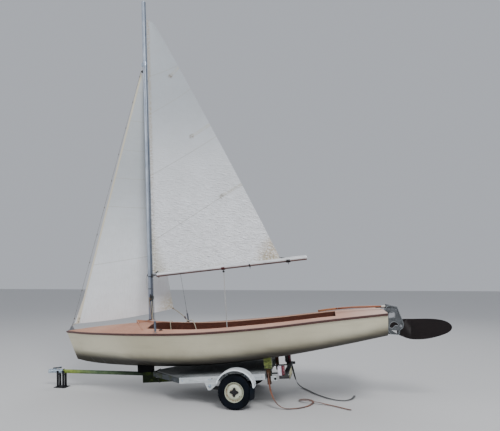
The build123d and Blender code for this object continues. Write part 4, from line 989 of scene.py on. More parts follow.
# The cockpit: dark varnished mahogany plywood lines it, with bare slats on bearers over the bottom,
# the centreboard's case down the middle, a thwart across it, and a post under the mast.
mahogany = grained("cockpit mahogany", tone(58, 27, 18), tone(100, 56, 40), tone(128, 84, 66), 0.50, 0.64,
                   Specular_IOR_Level=0.3)
board_wood = grained("bottom boards", tone(120, 92, 66), tone(164, 132, 98), tone(128, 122, 112), 0.65, 0.5)
dressed(mahogany, "cockpit_sides", "bulkheads", "centreboard_case", "thwart", "mast_post")
dressed(board_wood, "bottom_boards", "floor_bearers", "centreboard")

# Pale hardwood cappings, worn nearly bare, finish the top edges of the cockpit's sides. They are
# bent along the edges and pinned down.
capping_wood = grained("capping wood", tone(176, 140, 118), tone(206, 176, 154), tone(214, 196, 180), 0.55,
                       0.6)
# the middle of the port side's top edge from aft forward, as the boat parks
CAPPING = [
    (-1.519, 0.506, 1.223), (-1.376, 0.510, 1.207), (-1.203, 0.514, 1.186), (-1.029, 0.519, 1.164),
    (-0.855, 0.523, 1.141), (-0.681, 0.528, 1.119), (-0.507, 0.532, 1.099), (-0.333, 0.537, 1.080),
    (-0.159, 0.541, 1.062), (0.015, 0.546, 1.044), (0.189, 0.550, 1.029), (0.363, 0.555, 1.016),
    (0.537, 0.554, 1.006), (0.711, 0.551, 1.002), (0.884, 0.548, 1.000), (1.058, 0.539, 1.000),
    (1.200, 0.532, 0.999),
]
# the capping's rounded top, from its inner edge to its outer one: side and height
CROWN = [(-0.010, -0.002), (-0.007, 0.0035), (0, 0.0048), (0.007, 0.0035), (0.010, -0.002)]
for side, tail in SIDES:
    rings = [Vector((x, y * side, z + 0.003)) for x, y, z in CAPPING]
    capping = sheet_of(len(rings) - 1, len(CROWN) - 1, lambda along, across:
                       rings[round(along * (len(rings) - 1))]
                       + Vector((0, *CROWN[round(across * (len(CROWN) - 1))])))
    modified(capping, "SOLIDIFY", thickness=0.004, offset=-1.0)
    finished(capping, "capping_" + tail, "root", capping_wood, 40)


# The rudder's stock: a grey aluminium casting of two cheeks with windows, a triangular foot and a
# head for the tiller. Raised rims run round its outline and its windows, paler where they are rubbed.
stern_foot = drawn(-2.106, 0, 0.742)
stern_up = (drawn(-2.130, 0, 1.112) - stern_foot).normalized()
stern_back = Vector((-stern_up.z, 0, stern_up.x))


def at_stern(behind, up, port=0.0):
    """A place by its distance behind the transom and up it from the keel, in millimetres."""
    return stern_foot + stern_back * (behind / 1000) + stern_up * (up / 1000) + Vector((0, port / 1000, 0))


finish = Finish("grey casting")
place = finish.place
pits = place.clouds(110.0, 5.0, 0.7)
blotch = place.clouds(16.0, 6.0, 0.65)
broad = place.clouds(6.0, 5.0, 0.6)
color = (blotch * 0.7 + broad * 0.3).rises(0.34, 0.66).blend(tone(56, 59, 62), tone(96, 100, 104))
color = (pits.rises(0.58, 0.70) * 0.6).blend(color, tone(32, 33, 32))
color = (place.cells(60.0).falls(0.1, 0.35) * 0.3).blend(color, tone(128, 132, 134))
casting = finish.made(color, 0.55 + blotch * 0.25, blotch * 0.6 - pits * 0.5, 0.0015, 0.35 - pits * 0.2)
smoothed("rudder_stock", "rudder", casting, 40)
rubbed = pitted("rubbed rims", tone(112, 117, 121), tone(158, 163, 167), 0.42, 0.45)
# outlines of the casting, of its upper window and of its crescent window, in at_stern's millimetres
RIMS = [
    [(30, 345), (50, 451), (203, 414), (218, 371), (283, 175), (266, 121), (248, 104), (224, 96), (214, 30),
     (188, 22), (34, 37)],
    [(76, 256), (180, 258), (178, 342), (74, 344)],
    [(80, 128), (84, 162), (110, 195), (148, 209), (187, 196), (211, 166), (202, 147), (172, 153), (149, 145),
     (136, 121), (108, 111)],
]
# how far each cheek's face stands out from the middle, in the same millimetres
cheek_out = 24.6
for side, tail in SIDES:
    rims = []
    for outline in RIMS:
        points = [at_stern(behind, up, cheek_out * side) for behind, up in outline]
        line = smooth_line("stock_rim", points)
        line.data.splines[0].use_cyclic_u = True
        rims.append(meshed(thickened(line, 0.0030, 2, 5)))
    finished(rims, "stock_rims_" + tail, "rudder", rubbed, 60)


def brushed(name, dark, light, rough, along, metallic=1.0, grime=0.4, **fixed):
    """Drawn metal: fine lines along it, soft clouds and specks of dirt."""
    finish = Finish(name, **fixed)
    place = finish.place
    lines = place.stretched(*along).clouds(60.0, 4.0, 0.6)
    clouds = place.clouds(3.5, 6.0, 0.6)
    specks = place.clouds(90.0, 4.0, 0.7)
    color = (clouds * 0.6 + lines * 0.4).rises(0.35, 0.65).blend(dark, light)
    dirt = specks.rises(0.6, 0.75) * grime
    color = dirt.blend(color, tone(86, 82, 76))
    return finish.made(color, rough + clouds * 0.15 + dirt * 0.3, lines * 0.3 + specks * 0.2, 0.0003,
                       metallic * (1 - dirt * 0.8))


stainless = brushed("stainless", tone(120, 122, 126), tone(172, 174, 178), 0.3, (1.0, 1.0, 0.2), 0.9)
dressed(stainless, "rudder_gudgeons")
# rivets and bolts join the cheeks, and a large nut on each side holds the bolt that the blade turns on
blade_bolt = (237, 146)
bits = []
for side in (1, -1):
    for behind, up in ((54, 300), (54, 190), (54, 60)):
        bits.append(domed(at_stern(behind, up, 24 * side), (0, side, 0), 0.0055, 0.003))
    for behind, up in ((92, 384), (188, 376)):
        bits += bolt(at_stern(behind, up, 24 * side), (0, side, 0), 0.0065, 0.006)
finished(bits, "stock_bolts", "rudder", stainless)
nuts = []
for side in (1, -1):
    nuts += bolt(at_stern(*blade_bolt, 32.3 * side), (0, side, 0), 0.013, 0.010)
    nuts.append(eye_ring(at_stern(*blade_bolt, 25.5 * side), 0.020, 0.002, (0, side, 0)))
finished(nuts, "blade_bolt_nuts", "rudder", stainless)
# black rubber strips line the slot that the tiller lies in, and a black plug stands behind its head
slot_lining = []
for side in (1, -1):
    slot_lining.append(rounded_block(at_stern(82, 410, cheek_out * side), (0.092, 0.0022, 0.013), 0.001))
    slot_lining.append(rod_between(at_stern(160, 410, 22 * side), at_stern(160, 410, 27 * side), 0.0075, 18))
finished(slot_lining, "stock_slot_lining", "rudder", dark_moulding)

# The blade: plywood varnished nearly black, its edges rounded, with a hole worn by its bolt. It is
# lifted for the road and lies straight out behind the stock.
finish = Finish("dark varnish", Specular_IOR_Level=0.2)
place = finish.place
grain = place.turned(0, -3, 0).stretched(1.0, 12.0, 16.0).clouds(9.0, 7.0, 0.65)
broad = place.clouds(4.0, 5.0, 0.6)
scratches = place.turned(0, 25, 0).stretched(1.0, 6.0, 40.0).clouds(12.0, 6.0, 0.7)
color = (grain * 0.6 + broad * 0.4).rises(0.34, 0.66).blend(tone(13, 9, 11), tone(28, 20, 21))
color = (scratches.rises(0.60, 0.68) * 0.35).blend(color, tone(52, 42, 40))
blade_varnish = finish.made(color, 0.46 + broad * 0.2, grain * 0.4 + scratches * 0.2, 0.0005)
smoothed("rudder_blade", "rudder_blade", blade_varnish, 30)
# painted shade: a dark sheet in the blade's varnish fills the crescent window of each cheek, flush inside it
CRESCENT = [(82, 127), (86, 161), (111, 193), (148, 207), (186, 194), (209, 166), (201, 149), (172, 155),
            (148, 147), (135, 123), (108, 113)]
for side, tail in SIDES:
    bpy.ops.mesh.primitive_circle_add(vertices=len(CRESCENT), radius=1, fill_type="NGON")
    window_shade = bpy.context.object
    for vertex, (behind, up) in zip(window_shade.data.vertices, CRESCENT):
        vertex.co = at_stern(behind, up, 19.8 * side)
    modified(window_shade, "SOLIDIFY", thickness=0.003, offset=0.0)
    finished(window_shade, "crescent_shade_sheet_" + tail, "rudder", blade_varnish)

# The tiller: laminated ash and mahogany, varnished, and bound with black tape before the stock. Its
# extension is a varnished rod on a swivel, folded back beside it and capped with white rubber.
finish = Finish("tiller varnish", Coat_Weight=0.8, Coat_Roughness=0.12)
place = finish.place
grain = place.stretched(1.0, 14.0, 14.0).clouds(22.0, 7.0, 0.65)
plies = place.axis("Y").stripes(0.008, 0.0012, 0.001)
broad = place.clouds(5.0, 5.0, 0.6)
color = (grain * 0.6 + broad * 0.4).rises(0.36, 0.66).blend(tone(104, 48, 28), tone(160, 88, 50))
color = (plies * 0.35).blend(color, tone(212, 158, 104))
tiller_varnish = finish.made(color, 0.25 + broad * 0.15, grain * 0.4, 0.0004)
smoothed("tiller", "rudder", tiller_varnish, 40)
tiller_tilt = (0, trim - math.radians(3.0), 0)
tape = rounded_block(drawn(-2.086, 0, 1.1633), (0.110, 0.0372, 0.0332), 0.0088, tiller_tilt)
plates = [rounded_block(drawn(-2.195, 0.0186 * side, 1.1570), (0.090, 0.0022, 0.024), 0.001, tiller_tilt)
          for side in (1, -1)]
finished([tape, *plates], "tiller_tape", "rudder", dark_moulding)
extension_end = drawn(-2.170, 0.034, 1.168)
extension_run = (extension_end - drawn(-1.470, 0.034, 1.188)).normalized()
grip = rod_between(extension_end - extension_run * 0.052, extension_end + extension_run * 0.003, 0.0118, 28)
modified(grip, "BEVEL", width=0.003, segments=3, limit_method="ANGLE")
rings = [eye_ring(extension_end - extension_run * back, 0.0116, 0.0010, extension_run)
         for back in (0.012, 0.022, 0.032, 0.042)]
white_rubber = moulded("white rubber", tone(206, 202, 190), tone(236, 233, 224), 0.55)
finished([grip, *rings], "extension_cap", "rudder", white_rubber, 40)
swivel = [eye_ring(drawn(-1.490, 0.034, 1.1875), 0.0112, 0.0028, extension_run),
          rod_between(drawn(-1.490, 0.0165, 1.187), drawn(-1.490, 0.030, 1.1875), 0.0085, 24)]
swivel += bolt(drawn(-1.490, -0.0172, 1.187), (0, -1, 0), 0.0055, 0.005)
finished(swivel, "extension_swivel", "rudder", stainless)


# The mast: an oval tube of anodised alloy with a luff track behind it, dulled to a bluish grey. A plug
# closes its head, a band of tangs holds the stays, and a moulded step holds its foot on the foredeck.
mast_alloy = brushed("mast alloy", tone(136, 148, 166), tone(178, 187, 199), 0.36, (1.0, 1.0, 0.02), 0.7)
pin = Vector(joints["boom_swing"]["pos_m"])
mast_up = Vector(joints["boom_swing"]["axis"])
mast_fore = Vector((mast_up.z, 0, -mast_up.x))
mast_rake = 0.0618
mast_foot = drawn(1.450, 0, 1.211)


def on_mast(up, fore=0.0, port=0.0):
    """A place by its height up the mast, and how far it is ahead of and to port of the mast's middle."""
    return mast_foot + mast_up * up + mast_fore * fore + Vector((0, port, 0))


finish = Finish("mast alloy, shaded behind")
place = finish.place
lines = place.stretched(1.0, 1.0, 0.02).clouds(60.0, 4.0, 0.6)
clouds = place.clouds(3.5, 6.0, 0.6)
specks = place.clouds(90.0, 4.0, 0.7).rises(0.6, 0.75)
behind = mast_foot.dot(mast_fore) - (place.axis("X") * mast_fore.x + place.axis("Z") * mast_fore.z)
color = (clouds * 0.6 + lines * 0.4).rises(0.35, 0.65).blend(tone(138, 150, 168), tone(182, 191, 203))
# darker towards the foot, and painted shade on the tube's aft side behind the luff track
color = (place.axis("Z").falls(1.3, 2.1) * 0.6).blend(color, tone(112, 112, 126))
color = ((behind + clouds * 0.01).rises(0.014, 0.026) * 0.75).blend(color, tone(72, 80, 92))
color = (specks * 0.4).blend(color, tone(86, 82, 76))
mast_tube = finish.made(color, 0.36 + clouds * 0.15 + specks * 0.1, lines * 0.3 + specks * 0.2, 0.0003,
                        0.6 - specks * 0.3)
smoothed("mast", "root", mast_tube, 40)
dressed(mast_alloy, "mast_fittings")

# The mast's small fittings: a horn cleat for the halyards on its port side, a small block for the
# jib's halyard under the tangs, and an eye strap in front at the height of the gooseneck. All are
# riveted to the tube.
cleat_low, cleat_high = 0.296, 0.410
cleat_fore, cleat_port = -0.016, 0.026
horn = rod_between(on_mast(cleat_low, cleat_fore, cleat_port + 0.020),
                   on_mast(cleat_high, cleat_fore, cleat_port + 0.020), 0.0075)
chosen(horn)
bpy.ops.object.mode_set(mode="EDIT")
bpy.ops.mesh.bevel(offset=0.004, segments=3)
bpy.ops.object.mode_set(mode="OBJECT")
feet = [rounded_block(on_mast(up, cleat_fore, cleat_port + 0.008), (0.020, 0.026, 0.026), 0.004, (0, 0, 0))
        for up in (0.332, 0.374)]
plate_at = on_mast(0.353, cleat_fore, cleat_port + 0.001)
plate = rounded_block(plate_at, (0.024, 0.006, 0.084), 0.002, (0, mast_rake, 0))
finished([horn, plate, *feet], "halyard_cleat", "root", dark_moulding)

cheek_at = on_mast(4.262, 0.050)
cheek = crossbar(cheek_at, 0.008, 0.019, 32)
wheel = crossbar(cheek_at, 0.010, 0.006)
strap = rounded_block(cheek_at - mast_fore * 0.010, (0.022, 0.010, 0.052), 0.003, (0, mast_rake, 0))
finished([cheek, wheel, strap], "jib_halyard_block", "root", dark_moulding)

strap_at = on_mast(0.713, 0.0365)
eye = eye_ring(strap_at + mast_fore * 0.004, 0.010, 0.0028, (0, 1, 0))
base = rounded_block(strap_at, (0.004, 0.018, 0.046), 0.0015, (0, mast_rake, 0))
rivets = [domed(strap_at + mast_up * way + mast_fore * 0.002, mast_fore, 0.004, 0.002)
          for way in (-0.017, 0.017)]
finished([eye, base, *rivets], "front_eye", "root", dark_moulding)

# The stays: three of seven-strand steel wire, each with a pressed sleeve at its ends.
finish = Finish("stay wire", Metallic=0.9)
place = finish.place
twist = (place.axis("Z") + place.axis("Y") * 2.2 + place.axis("X") * 2.2).stripes(0.006, 0.0014, 0.0016)
wire_color = twist.blend(tone(150, 152, 154), tone(76, 78, 80))
dressed(finish.made(wire_color, 0.4, 1 - twist, 0.0006), "stays")
bow_eye = drawn(2.837, 0, 1.192)
stay_top = on_mast(4.359, 0.048)
stay_run = (stay_top - bow_eye).normalized()
sleeves = [rod_between(stay_top - stay_run * 0.075, stay_top - stay_run * 0.018, 0.0052),
           rod_between(bow_eye + stay_run * 0.020, bow_eye + stay_run * 0.085, 0.0052)]
shroud_runs = {}
for side in (1, -1):
    chain_eye = drawn(1.077, 0.745 * side, 1.094)
    top = on_mast(4.333, 0, 0.034 * side)
    run = (top - chain_eye).normalized()
    shroud_runs[side] = (chain_eye, run)
    sleeves.append(rod_between(top - run * 0.070, top - run * 0.012, 0.0052))
    sleeves.append(rod_between(chain_eye + run * 0.137, chain_eye + run * 0.200, 0.0056))
finished(sleeves, "stay_sleeves", "root", stainless)

# The shroud adjusters: on each side a folded channel of steel with a row of holes, that a pin joins to
# the chainplate below and another to the shroud above.
dressed(stainless, "chainplates", "gooseneck")
finish = Finish("adjuster steel")
clouds = finish.place.clouds(30.0, 5.0, 0.6)
dull = finish.place.clouds(120.0, 3.0, 0.6)
color = (clouds * 0.7 + dull * 0.3).rises(0.35, 0.65).blend(tone(84, 94, 108), tone(134, 146, 162))
adjuster_steel = finish.made(color, 0.4 + clouds * 0.2, dull, 0.0003, 0.75 + clouds * 0.2)
channel_l, channel_w, channel_d, channel_t = 0.140, 0.024, 0.018, 0.0022
for side, tail in SIDES:
    chain_eye, run = shroud_runs[side]
    turn = run.to_track_quat("Z", "Y").to_euler()
    bpy.ops.mesh.primitive_cube_add(size=1, scale=(channel_w, channel_d, channel_l))
    channel = bpy.context.object
    chosen(channel)
    bpy.ops.object.transform_apply(location=False, rotation=False, scale=True)
    bpy.ops.object.mode_set(mode="EDIT")
    bpy.ops.mesh.select_mode(type="FACE")
    bpy.ops.mesh.select_all(action="DESELECT")
    shell = bmesh.from_edit_mesh(channel.data)
    for face in shell.faces:
        face.select = face.normal.y * side > 0.9 or abs(face.normal.z) > 0.9
    bmesh.update_edit_mesh(channel.data)
    bpy.ops.mesh.delete(type="FACE")
    bpy.ops.object.mode_set(mode="OBJECT")
    modified(channel, "SOLIDIFY", thickness=channel_t, offset=-1.0)
    cutters = []
    for step in range(7):
        up = -channel_l / 2 + 0.014 + step * 0.0187
        cutters.append(rod_between((-channel_w, 0.001 * side, up), (channel_w, 0.001 * side, up), 0.0042, 20))
    cutter = together(*cutters)
    chosen(channel)
    modified(channel, "BOOLEAN", operation="DIFFERENCE", object=cutter, solver="EXACT")
    bpy.data.objects.remove(cutter)
    channel.rotation_euler = turn
    channel.location = chain_eye + run * 0.071
    sideways = Vector((1, 0, 0))
    sideways.rotate(turn)
    pins = []
    for up in (0.015, 0.127):
        middle = chain_eye + run * up
        pins.append(rod_between(middle - sideways * 0.015, middle + sideways * 0.014, 0.0036))
        pins.append(domed(middle - sideways * 0.015, sideways, 0.0062, 0.003))
        pins.append(eye_ring(middle + sideways * 0.0135, 0.0060, 0.0009, sideways))
    finished([channel, *pins], "adjuster_" + tail, "root", adjuster_steel)
    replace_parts(bpy.context.object, "rigging_screws")

# The boom: a bright round alloy tube, its underside painted dark brown as shade and as the ground's
# reflection, that turns on the pin of the gooseneck. Two half saddles under it hold blocks and a
# small clip lies between them.
boom_rise = math.radians(1.31)
boom_aft = heading(-math.cos(boom_rise), 0, math.sin(boom_rise))
boom_over = heading(math.sin(boom_rise), 0, math.cos(boom_rise))
finish = Finish("boom alloy")
place = finish.place
lines = place.stretched(0.02, 1.0, 1.0).clouds(60.0, 4.0, 0.6)
clouds = place.stretched(0.3, 1.0, 1.0).clouds(9.0, 6.0, 0.6)
over = place.axis("X") * boom_over.x + place.axis("Z") * boom_over.z - pin.dot(boom_over)
# painted shade and reflection of the ground: the underside is dark brown, duller and less metallic
painted_underside_shade = (over + clouds * 0.012).falls(-0.012, 0.001)
color = (lines * 0.5 + clouds * 0.5).rises(0.35, 0.65).blend(tone(214, 216, 220), tone(242, 243, 244))
color = (painted_underside_shade * 0.9).blend(color, (clouds.rises(0.35, 0.65)).blend(tone(60, 36, 36), tone(120, 82, 76)))
boom_alloy = finish.made(color, 0.28 + clouds * 0.15 + painted_underside_shade * 0.25, lines, 0.0002, 0.55 - painted_underside_shade * 0.5)
smoothed("boom", "boom", boom_alloy, 40)


def on_boom(out, over=0.0, port=0.0):
    """A place by its distance along the boom from the pin, over the boom's middle, and to port."""
    return pin + boom_aft * out + boom_over * over + Vector((0, port, 0))


finish = Finish("saddle moulding")
place = finish.place
clouds = place.clouds(24.0, 5.0, 0.6)
redder = (abs(place.axis("X") - on_boom(1.166).x)).falls(0.04, 0.08)
color = clouds.rises(0.35, 0.65).blend(tone(20, 20, 24), tone(40, 40, 46))
color = redder.blend(color, clouds.rises(0.35, 0.65).blend(tone(58, 14, 14), tone(92, 32, 30)))
dressed(finish.made(color, 0.45 + clouds * 0.2, clouds, 0.0005), "boom_fittings")
rivets = []
for out, stands_out in ((1.146, 0.0425), (1.186, 0.0425), (2.180, 0.0435), (2.220, 0.0435)):
    for side in (1, -1):
        rivets.append(domed(on_boom(out, -0.010, side * stands_out), (0, side, 0), 0.0042, 0.0022))
finished(rivets, "saddle_rivets", "boom", stainless)
# the boom's outer end: a plug with a rim, and a small sheave for the outhaul in it
boom_end = 0.062 + 2.421
plug = rod_between(on_boom(boom_end - 0.012), on_boom(boom_end + 0.003), 0.0358, 40)
chosen(plug)
bpy.ops.object.mode_set(mode="EDIT")
bpy.ops.mesh.select_mode(type="FACE")
bpy.ops.mesh.select_all(action="DESELECT")
shell = bmesh.from_edit_mesh(plug.data)
for face in shell.faces:
    beyond = (plug.matrix_world @ face.calc_center_median() - on_boom(boom_end)).dot(boom_aft)
    face.select = len(face.verts) > 4 and beyond > 0
bmesh.update_edit_mesh(plug.data)
bpy.ops.mesh.inset(thickness=0.006)
bpy.ops.mesh.extrude_region_move(TRANSFORM_OT_translate={"value": -boom_aft * 0.006})
bpy.ops.object.mode_set(mode="OBJECT")
modified(plug, "BEVEL", width=0.001, segments=2)
finished(plug, "boom_plug", "boom", boom_alloy)


# The mainsail: three wide panels of crisp polyester cloth sewn together square to its leech, with
# pockets for three short battens, patches in the corners and a headboard. It is set in the track of
# the mast and the boom. Age has crinkled its lower part, foxed its luff and yellowed its corners.
def near_line(place, start, end, half, edge):
    """1 along the straight line through two points of the sail's plane, 0 beyond half its width."""
    run = Vector((end.x - start.x, end.z - start.z)).normalized()
    across = place.axis("X") * run.y - place.axis("Z") * run.x
    return abs(across - (start.x * run.y - start.z * run.x)).falls(half, half + edge)


def beyond_start(place, start, end, edge):
    """0 before the start of a line, 1 beyond it, along the line."""
    run = Vector((end.x - start.x, end.z - start.z)).normalized()
    along = place.axis("X") * run.x + place.axis("Z") * run.y
    begin = start.x * run.x + start.z * run.y
    return along.rises(begin - edge, begin + edge)


def round_place(place, centre, reach, edge):
    """1 near a point of the sail's plane, fading to 0."""
    return flat_distance(place, centre).falls(reach, reach + edge)


def any_of(masks):
    """1 wherever one of several masks is."""
    joined = masks[0]
    for mask in masks[1:]:
        joined = joined.either(mask)
    return joined


def sewn(place, aft, fore):
    """1 along a seam, given by where its ends are forward and up on the level boat."""
    return near_line(place, drawn(aft[0], 0, aft[1]), drawn(fore[0], 0, fore[1]), 0.004, 0.003)


def from_edge(place, start, run):
    """How far a place is from the sail's edge that starts at a point and runs straight on."""
    return abs(place.axis("X") * run.z - place.axis("Z") * run.x - (start.x * run.z - start.z * run.x))


luff_l, foot_l = 4.505, 2.090
main_tack = pin - boom_aft * 0.010 + boom_over * 0.0363
main_head = main_tack + mast_up * luff_l
main_clew = main_tack + boom_aft * foot_l
headboard_corner = main_head - heading(0.140, 0, 0.100)
leech_round = 0.022
cloth_t = 0.0007


def main_place(across, up):
    """A point of the sail's flat outline: across from luff to leech, up from foot to head."""
    leech = main_clew.lerp(headboard_corner, up)
    chord = (headboard_corner - main_clew).normalized()
    leech -= Vector((chord.z, 0, -chord.x)) * leech_round * 4 * up * (1 - up)
    return main_tack.lerp(main_head, up).lerp(leech, across)


# a fixed seed, so that the folds always fall in the same places
noise.seed_set(1)


def crinkle(place, scale, layer):
    """Sharp folds a few centimetres apart, as old stiff cloth takes."""
    spot = Vector((place.x * 0.7, layer, place.z * 1.35)) * scale
    return 1 - abs(noise.noise(spot + noise.noise_vector(spot * 0.5) * 0.8)) * 2.4


def main_shape(across, up):
    """A point of the mainsail: filled a little to starboard, creased low down and pulled at its foot."""
    place = main_place(across, up)
    fullness = 4 * across * (1 - across) * (0.35 + 0.65 * min(1, up * 3.5)) * (1 - 0.75 * up)
    low = max(0.0, 1 - up / 0.42)
    creases = crinkle(place, 9.0, 3.0) * 0.0055 + crinkle(place, 17.0, 8.0) * 0.0045
    held = min(1.0, across * 14, (1 - across) * 14, up * 40, (1 - up) * 30)
    pulled = math.sin(across * 34 + up * 9) * 0.006 * max(0.0, 1 - up * 9) * (0.2 + across)
    place.y = -0.046 * fullness + (creases * (0.12 + 0.88 * low) + pulled) * held
    return place


finish = Finish("main sailcloth", Sheen_Weight=0.15)
place = finish.place
threads = place.stretched(1.0, 1.0, 0.06).clouds(120.0, 4.0)
mottle = place.clouds(2.6, 5.0, 0.6)
spots = place.clouds(34.0, 5.0, 0.7)
# painted shade: the cloth darkens to a bluish grey towards the head
high = place.axis("Z").rises(main_tack.z + 0.2, main_tack.z + 3.2)
color = high.blend(tone(246, 248, 252), tone(164, 170, 176))
color = (mottle.rises(0.3, 0.7) * 0.14).blend(color, tone(150, 152, 148))
color = (threads.rises(0.45, 0.7) * 0.18).blend(color, tone(182, 183, 180))
# ends of each seam, on the leech and on the luff, on the level boat
SEAMS = [((0.790, 5.470), (1.300, 5.360)), ((0.597, 4.986), (1.245, 4.701)), ((0.172, 4.103), (1.299, 3.605)),
         ((-0.223, 3.27), (0.759, 2.777))]
seams = any_of([sewn(place, *ends) for ends in SEAMS])
# inner end and leech end of each batten pocket
POCKETS = [((0.902, 5.316), (0.712, 5.459)), ((0.595, 4.174), (0.272, 4.319)),
           ((0.157, 3.09), (-0.204, 3.246))]
strips = []
edges = []
stains = []
for inner, outer in POCKETS:
    start, end = drawn(inner[0], 0, inner[1]), drawn(outer[0], 0, outer[1])
    begun = beyond_start(place, start, end, 0.004)
    strips.append(near_line(place, start, end, 0.020, 0.003) * begun)
    wide = near_line(place, start, end, 0.024, 0.002)
    edges.append((wide - near_line(place, start, end, 0.019, 0.002)) * begun)
    stains.append(round_place(place, start, 0.012, 0.05) * spots.rises(0.38, 0.6))
pockets = any_of(strips)
color = (seams * 0.45).blend(color, tone(150, 148, 138))
color = (pockets * spots.rises(0.3, 0.7) * 0.4).blend(color, tone(176, 168, 140))
color = (any_of(edges) * 0.4).blend(color, tone(150, 142, 118))
color = (any_of(stains) * 0.8).blend(color, tone(110, 98, 74))
# luff: a speckled strip beside the mast, browner towards the tack
from_luff = from_edge(place, main_tack, mast_up)
high = place.axis("Z").rises(main_tack.z + 0.6, main_tack.z + 2.2)
luff_strip = from_luff.falls(0.03, 0.07) * (spots * 1.3 - 0.25 + high * 0.05).rises(0.30, 0.55)
color = (luff_strip * 0.55).blend(color, tone(146, 128, 94))
tack_stain = (from_luff + (place.axis("Z") - main_tack.z) * 0.35 + mottle * 0.12).falls(0.16, 0.42)
color = (tack_stain * spots.rises(0.2, 0.62) * 0.6).blend(color, tone(172, 162, 128))
speckles = place.clouds(70.0, 4.0, 0.7).rises(0.58, 0.66)
color = (tack_stain * speckles * 0.7).blend(color, tone(74, 70, 48))
clew_stain = round_place(place, main_clew, 0.20, 0.26) * (spots + mottle * 0.5).rises(0.5, 0.86)
color = (clew_stain * 0.85).blend(color, tone(170, 150, 104))
foot_stain = near_line(place, main_tack, main_clew, 0.02, 0.05) * spots.rises(0.4, 0.65)
color = (foot_stain * 0.4).blend(color, tone(176, 166, 136))
from_clew = round_place(place, main_clew, 0.34, 0.006)
from_tack = round_place(place, main_tack, 0.30, 0.006)
relief = seams * 0.5 + pockets * 0.5 + threads * 0.08 + from_clew * 0.4 + from_tack * 0.4
crease = abs(place.turned(0, 12, 0).stretched(0.55, 1.0, 2.4).clouds(13.0, 3.0, 0.6) - 0.5)
low = place.axis("Z").falls(main_tack.z + 0.5, main_tack.z + 2.6)
relief = relief + crease * low * 40.0
# painted shade: thin bluish-grey lines along the creases of the lower sail
color = (crease.falls(0.0, 0.022) * low * 0.30).blend(color, tone(150, 156, 164))
main_cloth = finish.made(color, 0.62 + spots * 0.12, relief, 0.0016)
mainsail = sheet_of(110, 230, main_shape)
modified(mainsail, "SOLIDIFY", thickness=cloth_t, offset=0.0)
finished(mainsail, "mainsail_cloth", "boom", main_cloth, 60)
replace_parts(mainsail, "mainsail")

# The jib: the same cloth, its luff hanked close behind the forestay, its tack lashed at the stem and
# its clew sheeted to starboard. Its seams run straight back from the luff to the leech.
jib_up = 4.504
jib_tack = drawn(2.745, 0, 1.240)
jib_head = bow_eye + stay_run * jib_up - heading(0.0031, 0, 0)
jib_clew = drawn(1.250, -0.500, 1.345)


def jib_shape(across, up):
    """A point of the jib: across from luff to leech, up from foot to head."""
    luff = jib_tack.lerp(jib_head, up) + heading(0.045 * max(0.0, 1 - up / 0.1), 0, 0)
    leech = jib_clew.lerp(jib_head, up)
    leech += (luff - leech) * 0.035 * math.sin(math.pi * up)
    place = luff.lerp(leech, across)
    foot = 0.035 * math.sin(math.pi * across) * (1 - up) ** 8
    place.z -= foot
    fullness = 4 * across * (1 - across) * (1 - 0.7 * up) * min(1, 0.4 + up * 4)
    creases = crinkle(place, 8.0, 12.0) * 0.0014
    held = min(1.0, across * 14, (1 - across) * 14, up * 30, (1 - up) * 20)
    place.y -= 0.040 * fullness
    place.y += (creases + 0.004 * math.sin(across * 20 - up * 14) * max(0.0, 1 - up * 6)) * held
    return place


finish = Finish("jib sailcloth", Sheen_Weight=0.15)
place = finish.place
threads = place.stretched(1.0, 1.0, 0.05).clouds(90.0, 4.0)
mottle = place.clouds(2.2, 5.0, 0.6)
spots = place.clouds(30.0, 5.0, 0.7)
# painted shade: the cloth darkens to a bluish grey towards the head
color = place.axis("Z").rises(1.6, 3.8).blend(tone(230, 235, 239), tone(172, 178, 182))
color = (mottle.rises(0.3, 0.7) * 0.14).blend(color, tone(152, 154, 152))
color = (threads.rises(0.45, 0.7) * 0.22).blend(color, tone(186, 188, 186))
# ends of each seam, on the leech and on the luff, on the level boat
JIB_SEAMS = [((1.43, 5.103), (1.71, 5.149)), ((1.43, 4.579), (1.71, 4.621)), ((1.43, 4.058), (1.71, 4.096)),
             ((1.43, 3.565), (1.71, 3.599)), ((1.43, 3.073), (1.71, 3.104)), ((1.413, 2.278), (2.27, 2.195))]
seams = any_of([sewn(place, *ends) for ends in JIB_SEAMS])
color = (seams * 0.4).blend(color, tone(160, 158, 148))
luff_run = (jib_head - jib_tack).normalized()
luff_tape = from_edge(place, jib_tack, luff_run).falls(0.022, 0.026)
color = (luff_tape * 0.7).blend(color, tone(206, 196, 166))
clew_stain = round_place(place, jib_clew, 0.06, 0.30) * (spots + mottle * 0.4).rises(0.48, 0.8)
color = (clew_stain * 0.75).blend(color, tone(178, 164, 128))
relief = seams * 0.5 + luff_tape * 0.6 + threads * 0.08 + round_place(place, jib_clew, 0.25, 0.006) * 0.4
jib_cloth = finish.made(color, 0.62 + spots * 0.12, relief, 0.0014)
jib = sheet_of(70, 200, jib_shape)
modified(jib, "SOLIDIFY", thickness=cloth_t, offset=0.0)
finished(jib, "jib_cloth", "root", jib_cloth, 60)
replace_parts(jib, "jib")


# The running rigging: laid polyester rope, cream where it is old and whiter where it isn't. Each rope
# keeps its lay along it, and its strands are frayed.
cream_rope = rope_finish("cream rope", tone(196, 186, 158), tone(226, 220, 198))
tan_rope = rope_finish("tan rope", tone(146, 126, 100), tone(188, 170, 140))
grey_rope = rope_finish("grey rope", tone(176, 178, 176), tone(212, 212, 208))
dark_cord = rope_finish("dark cord", tone(44, 50, 48), tone(84, 90, 84))


def free_rope(name, points, radius, material):
    """A rope that isn't taut, kept as a curve."""
    rope = smooth_line(name, points)
    rope.data.resolution_u = 8
    length = line_length(rope)
    thickened(rope, radius)
    rope.data.materials.append(material)
    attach(rope, "root")


